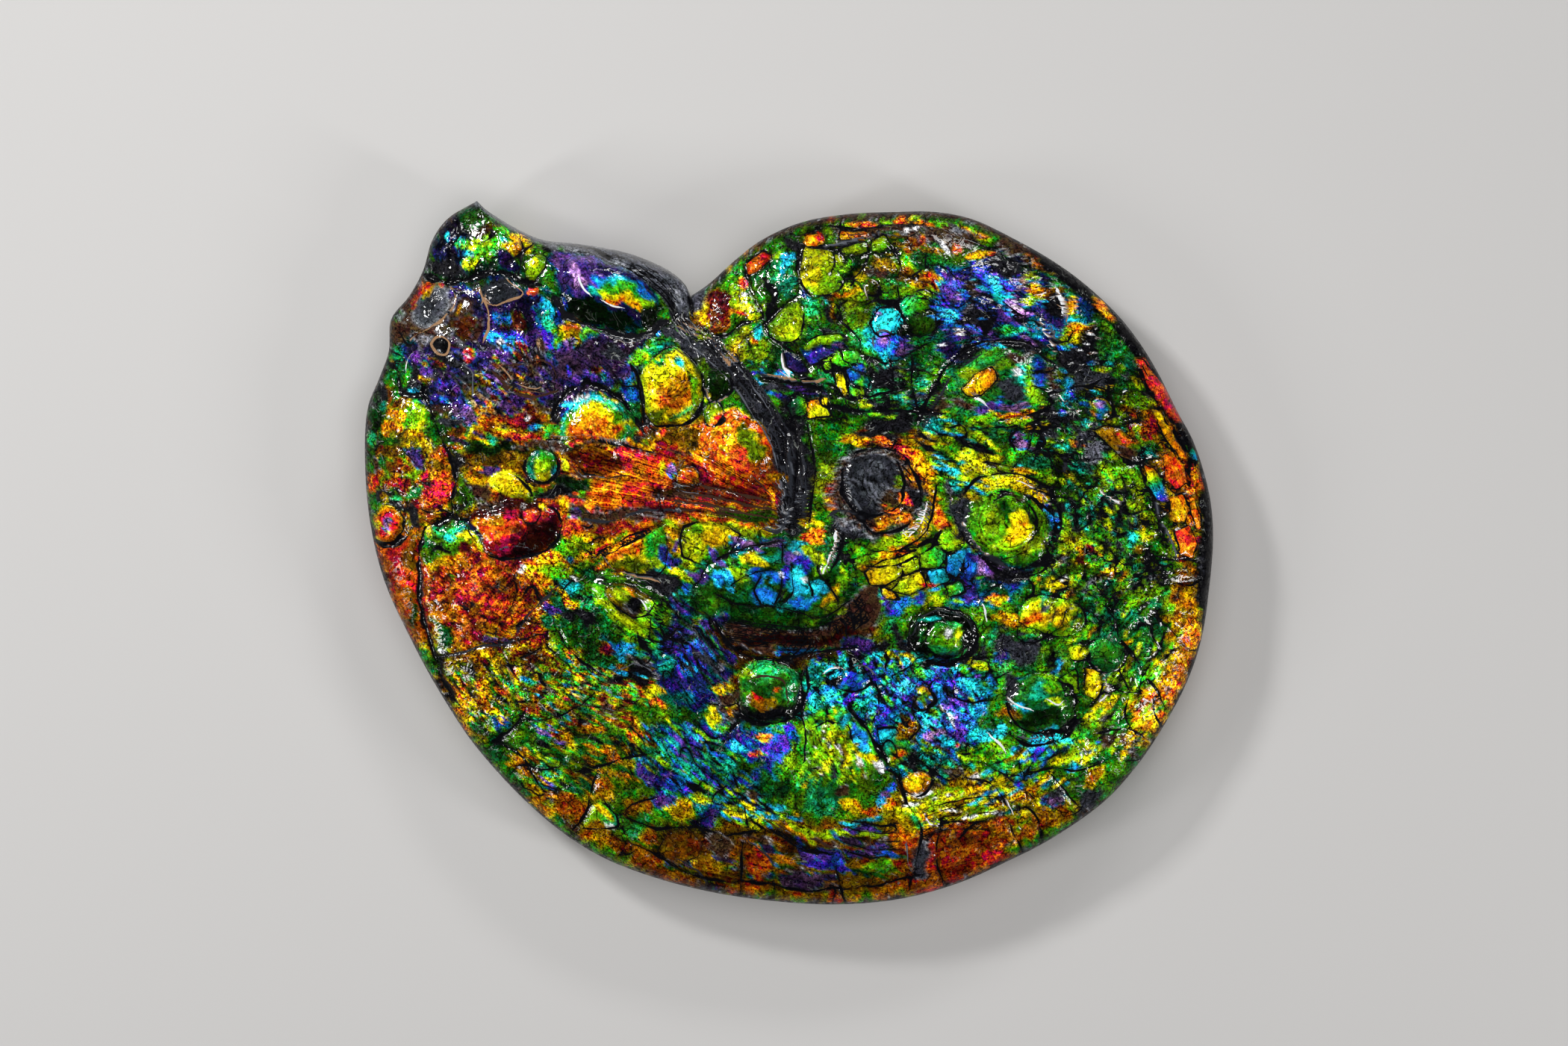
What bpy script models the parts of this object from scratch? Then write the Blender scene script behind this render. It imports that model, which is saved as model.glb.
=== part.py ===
"""Ammolite specimen: one ammonite fossil, lying on its flatter flank.

The fossil is one natural piece: a disc-shaped shell whose last whorl grows from
the open mouth at the upper left, round the bottom and right, to the umbilicus.
Metres, +Z up. The origin is the middle of the footprint, on the resting face.
"""

import math

import bmesh
import bpy
import numpy as np

# Driving dimensions, in metres
SHELL_LENGTH = 0.420  # across the disc, from the left edge to the right edge
MIDDLE_HEIGHT = 0.029  # of the keel's middle line above the resting face
FLANK_RISE = 0.033  # of the upper flank above the keel's middle line
FLANK_DROP = 0.034  # of the lower flank below it, before it is worn flat
KEEL_HALF = 0.009  # half the thickness at the keel
MOUTH_HALF = 0.012  # half the thickness where the mouth is broken off
KEEL_ROUND = 0.005  # how far the keel's rounding reaches in from the outline
FLANK_REACH = 0.036  # how fast the flank rises inwards from the keel
MOUTH_REACH = 0.009  # the same at the mouth's broken face

# The outline as seen on the flank, in pixels of the 2100 x 1401 photograph
OUTLINE_LEFT = 489.0
OUTLINE_RIGHT = 1624.5
OUTLINE_TOP = 269.4
OUTLINE_BOTTOM = 1211.0
PIXEL = SHELL_LENGTH / (OUTLINE_RIGHT - OUTLINE_LEFT)
MIDDLE_X = (OUTLINE_LEFT + OUTLINE_RIGHT) / 2
MIDDLE_Y = (OUTLINE_TOP + OUTLINE_BOTTOM) / 2

# The keel runs clockwise from the notch over the top, right, bottom and left to
# the mouth's tip. The mouth's broken edge runs from the tip back to the notch.
KEEL = [
    (925, 397), (951, 379), (983, 350), (1021, 321), (1073, 298), (1134, 287),
    (1200, 284), (1252, 284), (1303, 294), (1358, 320), (1409, 349), (1452, 380),
    (1495, 420), (1526, 459), (1551, 500), (1576, 550), (1600, 596), (1619, 660),
    (1624.5, 720), (1619, 790), (1609, 855), (1590, 912), (1562, 966), (1525, 1022),
    (1478, 1074), (1410, 1122), (1350, 1153), (1285, 1182), (1210, 1203), (1130, 1211),
    (1050, 1208), (960, 1196), (870, 1173), (790, 1139), (715, 1083), (640, 1003),
    (588, 925), (549, 853), (515, 778), (496, 700), (489, 620), (492, 550),
    (508, 507), (521, 470), (524, 428), (548, 397), (567, 362), (579, 322),
    (601, 292), (639, 269.4),
]
MOUTH = [
    (639, 269.4), (655, 284), (695, 308), (729, 322), (775, 327), (837, 338),
    (888, 358), (915, 378), (925, 397),
]
HUB = (985, 780)  # every outline point is in a straight line of sight from here
GRID = 46  # squares across the disc, on each flank
KEEL_ROWS = 4  # rows of faces between the flanks, with one edge on the outline
MOUTH_STEPS = 18  # squares along the mouth, of the 4 * GRID round the outline
MOUTH_SHARE = MOUTH_STEPS / (4 * GRID)

# The umbilicus: a plugged pit with a raised shoulder round it
UMBILICUS = (1180, 655)
PIT_RADIUS = 0.021
PIT_DEPTH = 0.009
SHOULDER_RADIUS = 0.036
SHOULDER_WIDTH = 0.011
SHOULDER_RISE = 0.003

# The seam where the last whorl laps over the one inside it
SEAM = [
    (915, 405), (950, 455), (990, 500), (1025, 545), (1045, 600), (1060, 655),
    (1085, 700), (1130, 735), (1145, 790), (1140, 850),
]
SEAM_WIDTH = 0.0075
SEAM_DEPTH = 0.006

# Bosses pressed up from inside the shell: middle, half axes and turn in degrees
# as seen in the photograph, and rise in metres
BOSSES = [
    ((812, 396), (80, 42), -24, 0.007),
    ((902, 512), (44, 52), 10, 0.005),
    ((985, 598), (44, 52), 15, 0.005),
    ((690, 688), (62, 46), 10, 0.006),
    ((855, 800), (88, 46), -18, 0.004),
    ((1045, 795), (112, 66), -6, 0.008),
    ((1036, 928), (42, 38), -10, 0.006),
    ((1352, 700), (78, 66), -20, 0.008),
    ((1395, 945), (80, 52), -25, 0.007),
    ((1265, 852), (44, 42), 0, 0.006),
    ((1345, 508), (66, 52), 10, 0.005),
    ((1425, 812), (56, 34), 10, 0.005),
    ((1498, 866), (40, 46), 30, 0.004),
]
BACK_BOSS_SHARE = 0.5  # how much of each boss shows on the worn lower flank

CURVE_STEPS = 8  # straight steps between two outline points
SMOOTH_ANGLE = math.radians(40)

FOSSIL_COLOUR = (0.09, 0.17, 0.05, 1.0)
FOSSIL_ROUGHNESS = 0.22
FOSSIL_METALLIC = 0.35


def metres(points):
    """Photograph pixels as places on the flank, in metres."""
    pixels = np.atleast_2d(np.array(points, float))
    return np.column_stack(
        ((pixels[:, 0] - MIDDLE_X) * PIXEL, (MIDDLE_Y - pixels[:, 1]) * PIXEL)
    )


def smooth_run(points):
    """A curve through the points, as many short straight steps."""
    ends = np.vstack((2 * points[0] - points[1], points, 2 * points[-1] - points[-2]))
    share = np.arange(CURVE_STEPS)[:, None] / CURVE_STEPS
    pieces = []
    for a, b, c, d in zip(ends, ends[1:], ends[2:], ends[3:]):
        pieces.append(
            0.5
            * (
                2 * b
                + (c - a) * share
                + (2 * a - 5 * b + 4 * c - d) * share**2
                + (3 * b - a - 3 * c + d) * share**3
            )
        )
    return np.vstack([*pieces, points[-1:]])


def along(run, share):
    """The points at these shares of a run's length."""
    steps = np.hypot(*np.diff(run, axis=0).T)
    length = np.concatenate(([0.0], np.cumsum(steps)))
    wanted = share * length[-1]
    return np.column_stack(
        [np.interp(wanted, length, run[:, axis]) for axis in (0, 1)]
    )


def outline_at(turn):
    """The outline's points for turns from 0 to 1, the keel first, then the mouth."""
    keel, mouth = smooth_run(metres(KEEL)), smooth_run(metres(MOUTH))
    keel_share = 1 - MOUTH_SHARE
    on_keel = turn[:, None] < keel_share
    return np.where(
        on_keel,
        along(keel, np.clip(turn / keel_share, 0, 1)),
        along(mouth, np.clip((turn - keel_share) / MOUTH_SHARE, 0, 1)),
    )


def distance_to(run, places):
    """How far each place is from a run of straight steps."""
    nearest = np.full(len(places), np.inf)
    for start, end in zip(run[:-1], run[1:]):
        step = end - start
        share = np.clip((places - start) @ step / max(step @ step, 1e-12), 0, 1)
        away = places - start - share[:, None] * step
        nearest = np.minimum(nearest, np.hypot(*away.T))
    return nearest


def bump(middle, half, turn, places):
    """A smooth dome from 1 at its middle to 0 at its edge."""
    offset = places - metres(middle)
    c, s = math.cos(math.radians(turn)), math.sin(math.radians(turn))
    across = (offset[:, 0] * c + offset[:, 1] * s) / (half[0] * PIXEL)
    up = (offset[:, 1] * c - offset[:, 0] * s) / (half[1] * PIXEL)
    return np.clip(1 - across**2 - up**2, 0, None) ** 1.3


def flank_height(places, keel_gap, mouth_gap, rise, boss_share):
    """Height of a flank from the keel's middle line, always positive."""
    from_keel = 1 - np.exp(-keel_gap / FLANK_REACH)
    from_mouth = 1 - np.exp(-mouth_gap / MOUTH_REACH)
    edge = KEEL_HALF + (MOUTH_HALF - KEEL_HALF) * np.exp(-mouth_gap / MOUTH_REACH)
    height = edge + (rise - edge) * np.minimum(from_keel, from_mouth)

    from_umbilicus = np.hypot(*(places - metres(UMBILICUS)).T)
    height -= PIT_DEPTH * np.exp(-((from_umbilicus / PIT_RADIUS) ** 4))
    shoulder = (from_umbilicus - SHOULDER_RADIUS) / SHOULDER_WIDTH
    height += SHOULDER_RISE * np.exp(-(shoulder**2))

    from_seam = distance_to(smooth_run(metres(SEAM)), places)
    height -= SEAM_DEPTH * np.exp(-((from_seam / SEAM_WIDTH) ** 2))

    for middle, half, turn, boss_rise in BOSSES:
        height += boss_rise * boss_share * bump(middle, half, turn, places)
    return height


def disc_place(square):
    """Radius and turn, both from 0 to 1, of points of a square from -1 to 1."""
    u, v = square[:, 0], square[:, 1]
    radius = np.maximum(np.abs(u), np.abs(v))
    wide = np.abs(u) >= np.abs(v)
    safe_u = np.where(np.abs(u) < 1e-9, 1.0, u)
    safe_v = np.where(np.abs(v) < 1e-9, 1.0, v)
    angle = np.where(
        wide,
        math.pi / 4 * v / safe_u + np.where(u < 0, math.pi, 0.0),
        math.pi / 2 - math.pi / 4 * u / safe_v + np.where(v < 0, math.pi, 0.0),
    )
    return radius, (-angle / (2 * math.pi)) % 1.0


def slab():
    """A square slab from -1 to 1: a grid on each face, and rows round its rim."""
    mesh = bmesh.new()
    bmesh.ops.create_grid(mesh, x_segments=GRID, y_segments=GRID, size=1)
    bmesh.ops.translate(mesh, vec=(0, 0, -1), verts=mesh.verts)
    raised = bmesh.ops.extrude_face_region(mesh, geom=mesh.faces[:])["geom"]
    upper = [item for item in raised if isinstance(item, bmesh.types.BMVert)]
    bmesh.ops.translate(mesh, vec=(0, 0, 2), verts=upper)
    upright = [e for e in mesh.edges if abs(e.verts[0].co.z - e.verts[1].co.z) > 1]
    bmesh.ops.subdivide_edges(mesh, edges=upright, cuts=KEEL_ROWS - 1)
    return mesh


def shape(slab_points):
    """Moves the slab's points to the fossil's surface."""
    radius, turn = disc_place(slab_points)
    level = slab_points[:, 2]
    outline = outline_at(turn)
    hub = metres(HUB)
    spoke = outline - hub
    length = np.hypot(*spoke.T)
    rounding = 1 - np.sqrt(np.clip(1 - level**2, 0, 1))
    reach = radius * (1 - KEEL_ROUND * rounding / length)
    places = hub + spoke * reach[:, None]

    keel_gap = distance_to(smooth_run(metres(KEEL)), places)
    mouth_gap = distance_to(smooth_run(metres(MOUTH)), places)
    above = flank_height(places, keel_gap, mouth_gap, FLANK_RISE, 1.0)
    below = flank_height(places, keel_gap, mouth_gap, FLANK_DROP, -BACK_BOSS_SHARE)
    below = np.minimum(below, MIDDLE_HEIGHT)
    height = MIDDLE_HEIGHT + np.where(level > 0, above, below) * level
    return np.column_stack((places, height))


def build_fossil():
    """The fossil as one closed object."""
    mesh = slab()
    points = np.array([vert.co for vert in mesh.verts], float)
    for vert, place in zip(mesh.verts, shape(points)):
        vert.co = place
    bmesh.ops.triangulate(mesh, faces=mesh.faces[:])
    bmesh.ops.recalc_face_normals(mesh, faces=mesh.faces[:])
    data = bpy.data.meshes.new("ammonite")
    mesh.to_mesh(data)
    mesh.free()
    data.shade_smooth()
    data.set_sharp_from_angle(angle=SMOOTH_ANGLE)
    fossil = bpy.data.objects.new("ammonite", data)
    bpy.context.scene.collection.objects.link(fossil)
    return fossil


def fossil_material():
    material = bpy.data.materials.new("ammolite")
    material.use_nodes = True
    surface = material.node_tree.nodes["Principled BSDF"]
    surface.inputs["Base Color"].default_value = FOSSIL_COLOUR
    surface.inputs["Roughness"].default_value = FOSSIL_ROUGHNESS
    surface.inputs["Metallic"].default_value = FOSSIL_METALLIC
    return material


def main():
    for old in list(bpy.data.objects):
        bpy.data.objects.remove(old)
    fossil = build_fossil()
    fossil.data.materials.append(fossil_material())


main()
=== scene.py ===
"""Ammolite specimen: one ammonite fossil with an iridescent nacre surface.

The fossil lies on its worn flank and is seen from straight above. Its surface
is one closed mesh. Relief, cracks and colour zones are laid out in pixels
of the 2100 x 1401 photograph, and the material adds the finest detail.
"""

import math

import bmesh
import bpy
import numpy as np
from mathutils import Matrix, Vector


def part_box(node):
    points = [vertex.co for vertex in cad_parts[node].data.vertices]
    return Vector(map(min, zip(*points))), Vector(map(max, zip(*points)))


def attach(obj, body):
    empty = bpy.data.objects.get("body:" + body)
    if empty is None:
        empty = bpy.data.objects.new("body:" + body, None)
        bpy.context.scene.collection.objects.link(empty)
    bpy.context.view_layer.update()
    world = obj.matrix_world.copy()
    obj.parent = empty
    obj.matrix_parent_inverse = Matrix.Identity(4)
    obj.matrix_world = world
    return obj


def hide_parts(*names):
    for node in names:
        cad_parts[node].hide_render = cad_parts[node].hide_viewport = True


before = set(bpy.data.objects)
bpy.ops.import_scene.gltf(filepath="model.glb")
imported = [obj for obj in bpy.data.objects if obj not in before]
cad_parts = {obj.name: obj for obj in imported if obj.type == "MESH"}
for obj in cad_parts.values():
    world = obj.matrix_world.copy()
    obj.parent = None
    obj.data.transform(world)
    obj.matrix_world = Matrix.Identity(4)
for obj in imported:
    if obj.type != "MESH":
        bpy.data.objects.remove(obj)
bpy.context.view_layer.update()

# The photograph, in pixels, and where the fossil is in it
PHOTO_WIDE = 2100
PHOTO_HIGH = 1401
OUTLINE_LEFT = 489.0
OUTLINE_RIGHT = 1624.5
OUTLINE_TOP = 269.4
OUTLINE_BOTTOM = 1211.0
MIDDLE = np.array(((OUTLINE_LEFT + OUTLINE_RIGHT) / 2, (OUTLINE_TOP + OUTLINE_BOTTOM) / 2))
LOW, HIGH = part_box("ammonite")
PIXEL = (HIGH.x - LOW.x) / (OUTLINE_RIGHT - OUTLINE_LEFT)  # metres

# Heights and widths of the plain shell, in metres
KEEL_HEIGHT = 0.029  # of the keel's middle line above the resting face
KEEL_HALF = 0.009
MOUTH_HALF = 0.012
FLANK_RISE = 0.0285  # of the upper flank above the keel's middle line
FLANK_DROP = 0.034
FLANK_REACH = 0.034
MOUTH_REACH = 0.009
KEEL_ROUND = 0.005
TOP_MARGIN = 0.0006  # kept free under the highest point of the solid
TOP_KNEE = 0.002  # under that, where heights start to be held back
EDGE_MARGIN = 0.00002

# The camera, straight above
LENS = 100.0
SENSOR = 36.0
CAMERA_GAP = PHOTO_WIDE * PIXEL * LENS / SENSOR  # from the keel's middle line

# The outline seen from above: the keel clockwise from the notch to the mouth's
# tip, then the mouth's broken edge back to the notch
KEEL = [
    (925, 397), (951, 379), (983, 350), (1021, 321), (1073, 298), (1134, 287),
    (1200, 284), (1252, 284), (1303, 294), (1358, 320), (1409, 349), (1452, 380),
    (1495, 420), (1526, 459), (1551, 500), (1576, 550), (1600, 596), (1619, 660),
    (1624.5, 720), (1619, 790), (1609, 855), (1590, 912), (1562, 966), (1525, 1022),
    (1478, 1074), (1410, 1122), (1350, 1153), (1285, 1182), (1210, 1203), (1130, 1211),
    (1050, 1208), (960, 1196), (870, 1173), (790, 1139), (715, 1083), (640, 1003),
    (588, 925), (549, 853), (515, 778), (496, 700), (489, 620), (492, 550),
    (508, 507), (521, 470), (524, 428), (548, 397), (567, 362), (579, 322),
    (601, 292), (639, 269.4),
]
MOUTH = [
    (639, 269.4), (655, 284), (695, 308), (729, 322), (775, 327), (837, 338),
    (888, 358), (915, 378), (925, 397),
]
HUB = np.array((985.0, 780.0))
GRID = 94  # squares across the disc before the upper flank is made finer
FINER = 2  # cuts in each of those squares' edges on the upper flank
MOUTH_SHARE = 36 / (4 * GRID)
CURVE_STEPS = 6
# painted shade on the bosses falls this way
SHADOW_WAY = np.array((0.6, 0.8))  # to the lower right
FACETS = 640.0  # across a metre, in the nacre
FLAKES = 300.0  # bigger ones, with hairline cracks between them

# Nacre colours, from the thickest layers to the thinnest, as they lie on the
# shell's colour scale from 0 to 1, with the colour of each
NACRE = {
    "crimson": (0.00, (0.36, 0.004, 0.012)),
    "red": (0.07, (0.62, 0.014, 0.006)),
    "scarlet": (0.13, (0.68, 0.060, 0.003)),
    "orange": (0.19, (0.70, 0.150, 0.002)),
    "amber": (0.25, (0.66, 0.250, 0.001)),
    "gold": (0.31, (0.64, 0.370, 0.001)),
    "yellow": (0.36, (0.58, 0.480, 0.002)),
    "lime": (0.42, (0.30, 0.460, 0.002)),
    "leaf": (0.47, (0.12, 0.360, 0.002)),
    "green": (0.53, (0.030, 0.280, 0.004)),
    "emerald": (0.59, (0.008, 0.270, 0.040)),
    "teal": (0.66, (0.004, 0.290, 0.180)),
    "cyan": (0.73, (0.010, 0.380, 0.540)),
    "azure": (0.80, (0.008, 0.180, 0.660)),
    "blue": (0.86, (0.015, 0.050, 0.560)),
    "indigo": (0.91, (0.030, 0.030, 0.340)),
    "violet": (0.96, (0.100, 0.040, 0.340)),
    "mauve": (1.00, (0.200, 0.100, 0.240)),
}
# The matrix between and under the nacre, from black mudstone to pale calcite; the white end is also painted
# on as glints and highlights on ridges and bosses
ROCK = {
    "black": (0.00, (0.002, 0.002, 0.003)),
    "coal": (0.15, (0.006, 0.006, 0.008)),
    "slate": (0.30, (0.018, 0.020, 0.026)),
    "grey": (0.45, (0.085, 0.092, 0.110)),
    "ash": (0.50, (0.240, 0.255, 0.275)),
    "umber": (0.58, (0.036, 0.014, 0.007)),
    "tan": (0.75, (0.330, 0.190, 0.100)),
    "white": (1.00, (0.800, 0.820, 0.850)),
}

# How the surface is worked, in pixels of the photograph
NOISE_TABLE = 61  # directions each way before a noise repeats
CELL_TABLE = 67
NOISE_GAIN = 1.5
FINER_SHARE = 0.55  # of each finer layer of a noise, against the one before
FAR = 99.0  # further off than any crack reaches
LOOSE_BEND = 12  # how far a wandering edge is moved about
FIRM_BEND = 3
DOME_BEND = 5
# painted shade: how much a groove darkens its sides
GROOVE_PAINTED_SHADE = 0.45  # how much a groove darkens its sides
GROOVE_SIDE = 2.5
CALMED = 0.25  # of the folds and plates, left on a finished feature
CALM_VARY = 0.2
SHADE_GAIN = 1.62
# The rounded folds: size, seed of the noise, and height in millimetres
FOLDS = ((86, 201, 1.6), (44, 211, 1.0))
LARGE_PLATES = (38, 5)  # size and seed
SMALL_PLATES = (17, 6)

# The sizes of the material's noises, across a metre
BROAD_GRAIN = 170.0
FINE_GRAIN = 800.0
GLITTER_GRAIN = 1250.0
PAINTED_GLINT_GRAIN = 75.0
BEND_GRAIN = 240.0
BEND = (0.003, 0.003, 0.003)  # metres, of the facets' edges
# How far each grain moves the hue along its scale, and how much it lights up
HUE = {"broad": 0.25, "fine": 0.3, "contour": 0.34, "grooves": 0.1, "flakes": 0.05}
LIGHT = {"fine": 5.0, "glitter": 4.5, "contour": 1.9, "grooves": 3.0, "facets": 0.9, "flakes": 0.4}
DARKEST = 0.04
HAIRLINE = (0.02, 0.13, 0.08, 1.0)  # its edges as a share of a flake, its light and the flake's
# painted glints: the edges of thin pale lines laid on as highlights, and their colour
PAINTED_GLINT_EDGES = (0.009, 0.003)
PAINTED_GLINT_COLOUR = (0.62, 0.66, 0.6, 1.0)
CRACK = (1.25, 0.75)  # its edges, in half widths
CRACK_REACH = (4.5, 3.5)  # pixels
ROUGHNESS = 0.35
SPECULAR = 0.06
COAT_ROUGHNESS = 0.04
FACET_TILT = 0.4
POLISH_WAVES = 0.0008  # metres
BARE_SHINE = 0.25  # the nacre's metallic share, none on rock and in cracks

# The lights: place, size in metres, power in watts
LIGHTS = {
    "key": ((-0.95, 0.85, 1.15), (0.22, 0.22), 14),
    "left": ((-1.3, -0.5, 0.9), (0.2, 0.5), 6),
    "right": ((1.25, -0.55, 0.85), (0.2, 0.5), 7),
    "back": ((0.45, 1.35, 0.95), (0.6, 0.2), 7),
    "top": ((0.0, 0.0, 1.6), (1.2, 1.2), 14),
}
SKY = (0.8, 0.85, 0.95, 1)
SKY_STRENGTH = 0.02
FLOOR_HALF = 4
FLOOR_COLOUR = (0.52, 0.51, 0.50, 1.0)
FLOOR_ROUGHNESS = 0.7


def mix(a, b, share):
    return a + (b - a) * share


def ease(start, end, value):
    """A smooth step from 0 at start to 1 at end."""
    share = np.clip((value - start) / (end - start), 0, 1)
    return share * share * (3 - 2 * share)


def noise(spots, size, seed):
    """Smooth noise from about -1 to 1, with bumps of this size in pixels."""
    table = np.random.default_rng(seed).random((NOISE_TABLE, NOISE_TABLE)) * 2 * math.pi
    corner = np.floor(spots / size).astype(int)
    part = spots / size - corner
    fade = part**3 * (part * (part * 6 - 15) + 10)
    total = np.zeros(len(spots))
    for right in (0, 1):
        for down in (0, 1):
            column, row = corner[:, 0] + right, corner[:, 1] + down
            angle = table[column % NOISE_TABLE, row % NOISE_TABLE]
            slope = np.cos(angle) * (part[:, 0] - right) + np.sin(angle) * (part[:, 1] - down)
            weight = np.abs(1 - right - fade[:, 0]) * np.abs(1 - down - fade[:, 1])
            total += weight * slope
    return total * NOISE_GAIN


def rough_noise(spots, size, seed, layers=3):
    """Noise with finer and weaker bumps laid over it."""
    return sum(
        noise(spots, size / 2**layer, seed + layer) * FINER_SHARE**layer
        for layer in range(layers)
    )


def oval_reach(spots, x, y, wide, high, turn):
    """How far each spot is from an oval's middle: 1 is its edge."""
    right, up = spots[:, 0] - x, y - spots[:, 1]
    c, s = math.cos(math.radians(turn)), math.sin(math.radians(turn))
    return np.hypot((right * c + up * s) / wide, (up * c - right * s) / high)


def smooth_run(points):
    """A curve through the points, as many short straight steps."""
    points = np.array(points, float)
    ends = np.vstack((2 * points[0] - points[1], points, 2 * points[-1] - points[-2]))
    share = np.arange(CURVE_STEPS)[:, None] / CURVE_STEPS
    pieces = []
    for a, b, c, d in zip(ends, ends[1:], ends[2:], ends[3:]):
        square, cube = 2 * a - 5 * b + 4 * c - d, 3 * b - a - 3 * c + d
        pieces.append(0.5 * (2 * b + (c - a) * share + square * share**2 + cube * share**3))
    return np.vstack([*pieces, points[-1:]])


def along(run, share):
    """The points at these shares of a run's length."""
    length = np.concatenate(([0.0], np.cumsum(np.hypot(*np.diff(run, axis=0).T))))
    return np.column_stack([np.interp(share * length[-1], length, run[:, k]) for k in (0, 1)])


def signed_gap(run, spots):
    """How far each spot is from a run, above zero on its left and below on its right."""
    nearest = np.full(len(spots), np.inf)
    side = np.ones(len(spots))
    for start, end in zip(run[:-1], run[1:]):
        step = end - start
        share = np.clip((spots - start) @ step / max(step @ step, 1e-9), 0, 1)
        away = spots - start - share[:, None] * step
        gap = np.hypot(*away.T)
        closer = gap < nearest
        nearest = np.where(closer, gap, nearest)
        turned = step[0] * away[:, 1] - step[1] * away[:, 0]
        side = np.where(closer, np.where(turned < 0, -1.0, 1.0), side)
    return nearest * side


class Finder:
    """Finds the spots in a box quickly."""

    def __init__(self, spots):
        self.spots = spots
        self.order = np.argsort(spots[:, 0])
        self.sorted_x = spots[self.order, 0]

    def near(self, points, margin):
        points = np.atleast_2d(points)
        low, high = points.min(0) - margin, points.max(0) + margin
        start, end = np.searchsorted(self.sorted_x, (low[0], high[0]))
        picked = self.order[start:end]
        y = self.spots[picked, 1]
        return picked[(y > low[1]) & (y < high[1])]


def cells(spots, size, seed):
    """The cell each spot is in, as a random number, and the signed gap to the next one."""
    table = np.random.default_rng(seed).random((CELL_TABLE, CELL_TABLE, 3))
    corner = np.floor(spots / size).astype(int)
    near = np.full((2, len(spots)), np.inf)
    names = np.zeros((2, len(spots)))
    seats = np.zeros((2, len(spots), 2))
    for right in (-1, 0, 1):
        for down in (-1, 0, 1):
            column, row = corner[:, 0] + right, corner[:, 1] + down
            entry = table[column % CELL_TABLE, row % CELL_TABLE]
            seat = (np.column_stack((column, row)) + 0.15 + 0.7 * entry[:, :2]) * size
            gap = np.hypot(*(spots - seat).T)
            first = gap < near[0]
            second = ~first & (gap < near[1])
            for store, new in ((near, gap), (names, entry[:, 2]), (seats, seat)):
                store[1][first] = store[0][first]
                store[0][first] = new[first]
                store[1][second] = new[second]
    between = np.hypot(*(seats[1] - seats[0]).T)
    border = (near[1] ** 2 - near[0] ** 2) / (2 * np.maximum(between, 1e-6))
    return names[0], border * np.where(names[0] > names[1], 1.0, -1.0)


def outline_at(turn):
    """The outline for turns from 0 to 1, the keel first, then the mouth, in pixels."""
    keel, mouth = smooth_run(KEEL), smooth_run(MOUTH)
    keel_share = 1 - MOUTH_SHARE
    return np.where(
        turn[:, None] < keel_share,
        along(keel, np.clip(turn / keel_share, 0, 1)),
        along(mouth, np.clip((turn - keel_share) / MOUTH_SHARE, 0, 1)),
    )


def disc_place(square):
    """Radius and turn, both from 0 to 1, of points of a square from -1 to 1."""
    u, v = square[:, 0], square[:, 1]
    radius = np.maximum(np.abs(u), np.abs(v))
    wide = np.abs(u) >= np.abs(v)
    safe_u = np.where(np.abs(u) < 1e-9, 1.0, u)
    safe_v = np.where(np.abs(v) < 1e-9, 1.0, v)
    angle = np.where(
        wide,
        math.pi / 4 * v / safe_u + np.where(u < 0, math.pi, 0.0),
        math.pi / 2 - math.pi / 4 * u / safe_v + np.where(v < 0, math.pi, 0.0),
    )
    return radius, (-angle / (2 * math.pi)) % 1.0


def slab():
    """A square slab from -1 to 1, with a much finer grid on its upper half."""
    mesh = bmesh.new()
    bmesh.ops.create_grid(mesh, x_segments=GRID, y_segments=GRID, size=1)
    bmesh.ops.translate(mesh, vec=(0, 0, -1), verts=mesh.verts)
    raised = bmesh.ops.extrude_face_region(mesh, geom=mesh.faces[:])["geom"]
    upper = [item for item in raised if isinstance(item, bmesh.types.BMVert)]
    bmesh.ops.translate(mesh, vec=(0, 0, 2), verts=upper)
    upright = [e for e in mesh.edges if abs(e.verts[0].co.z - e.verts[1].co.z) > 1]
    bmesh.ops.subdivide_edges(mesh, edges=upright, cuts=3)
    fine = [e for e in mesh.edges if min(e.verts[0].co.z, e.verts[1].co.z) > -0.01]
    bmesh.ops.subdivide_edges(mesh, edges=fine, cuts=FINER, use_grid_fill=True)
    bmesh.ops.recalc_face_normals(mesh, faces=mesh.faces[:])
    return mesh


def plain_flank(spots, rise):
    """Height of the plain flank from the keel's middle line, in metres."""
    keel_gap = np.abs(signed_gap(smooth_run(KEEL), spots)) * PIXEL
    mouth_gap = np.abs(signed_gap(smooth_run(MOUTH), spots)) * PIXEL
    near_mouth = np.exp(-mouth_gap / MOUTH_REACH)
    edge = KEEL_HALF + (MOUTH_HALF - KEEL_HALF) * near_mouth
    full = np.minimum(1 - np.exp(-keel_gap / FLANK_REACH), 1 - near_mouth)
    return edge + (rise - edge) * full


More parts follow.
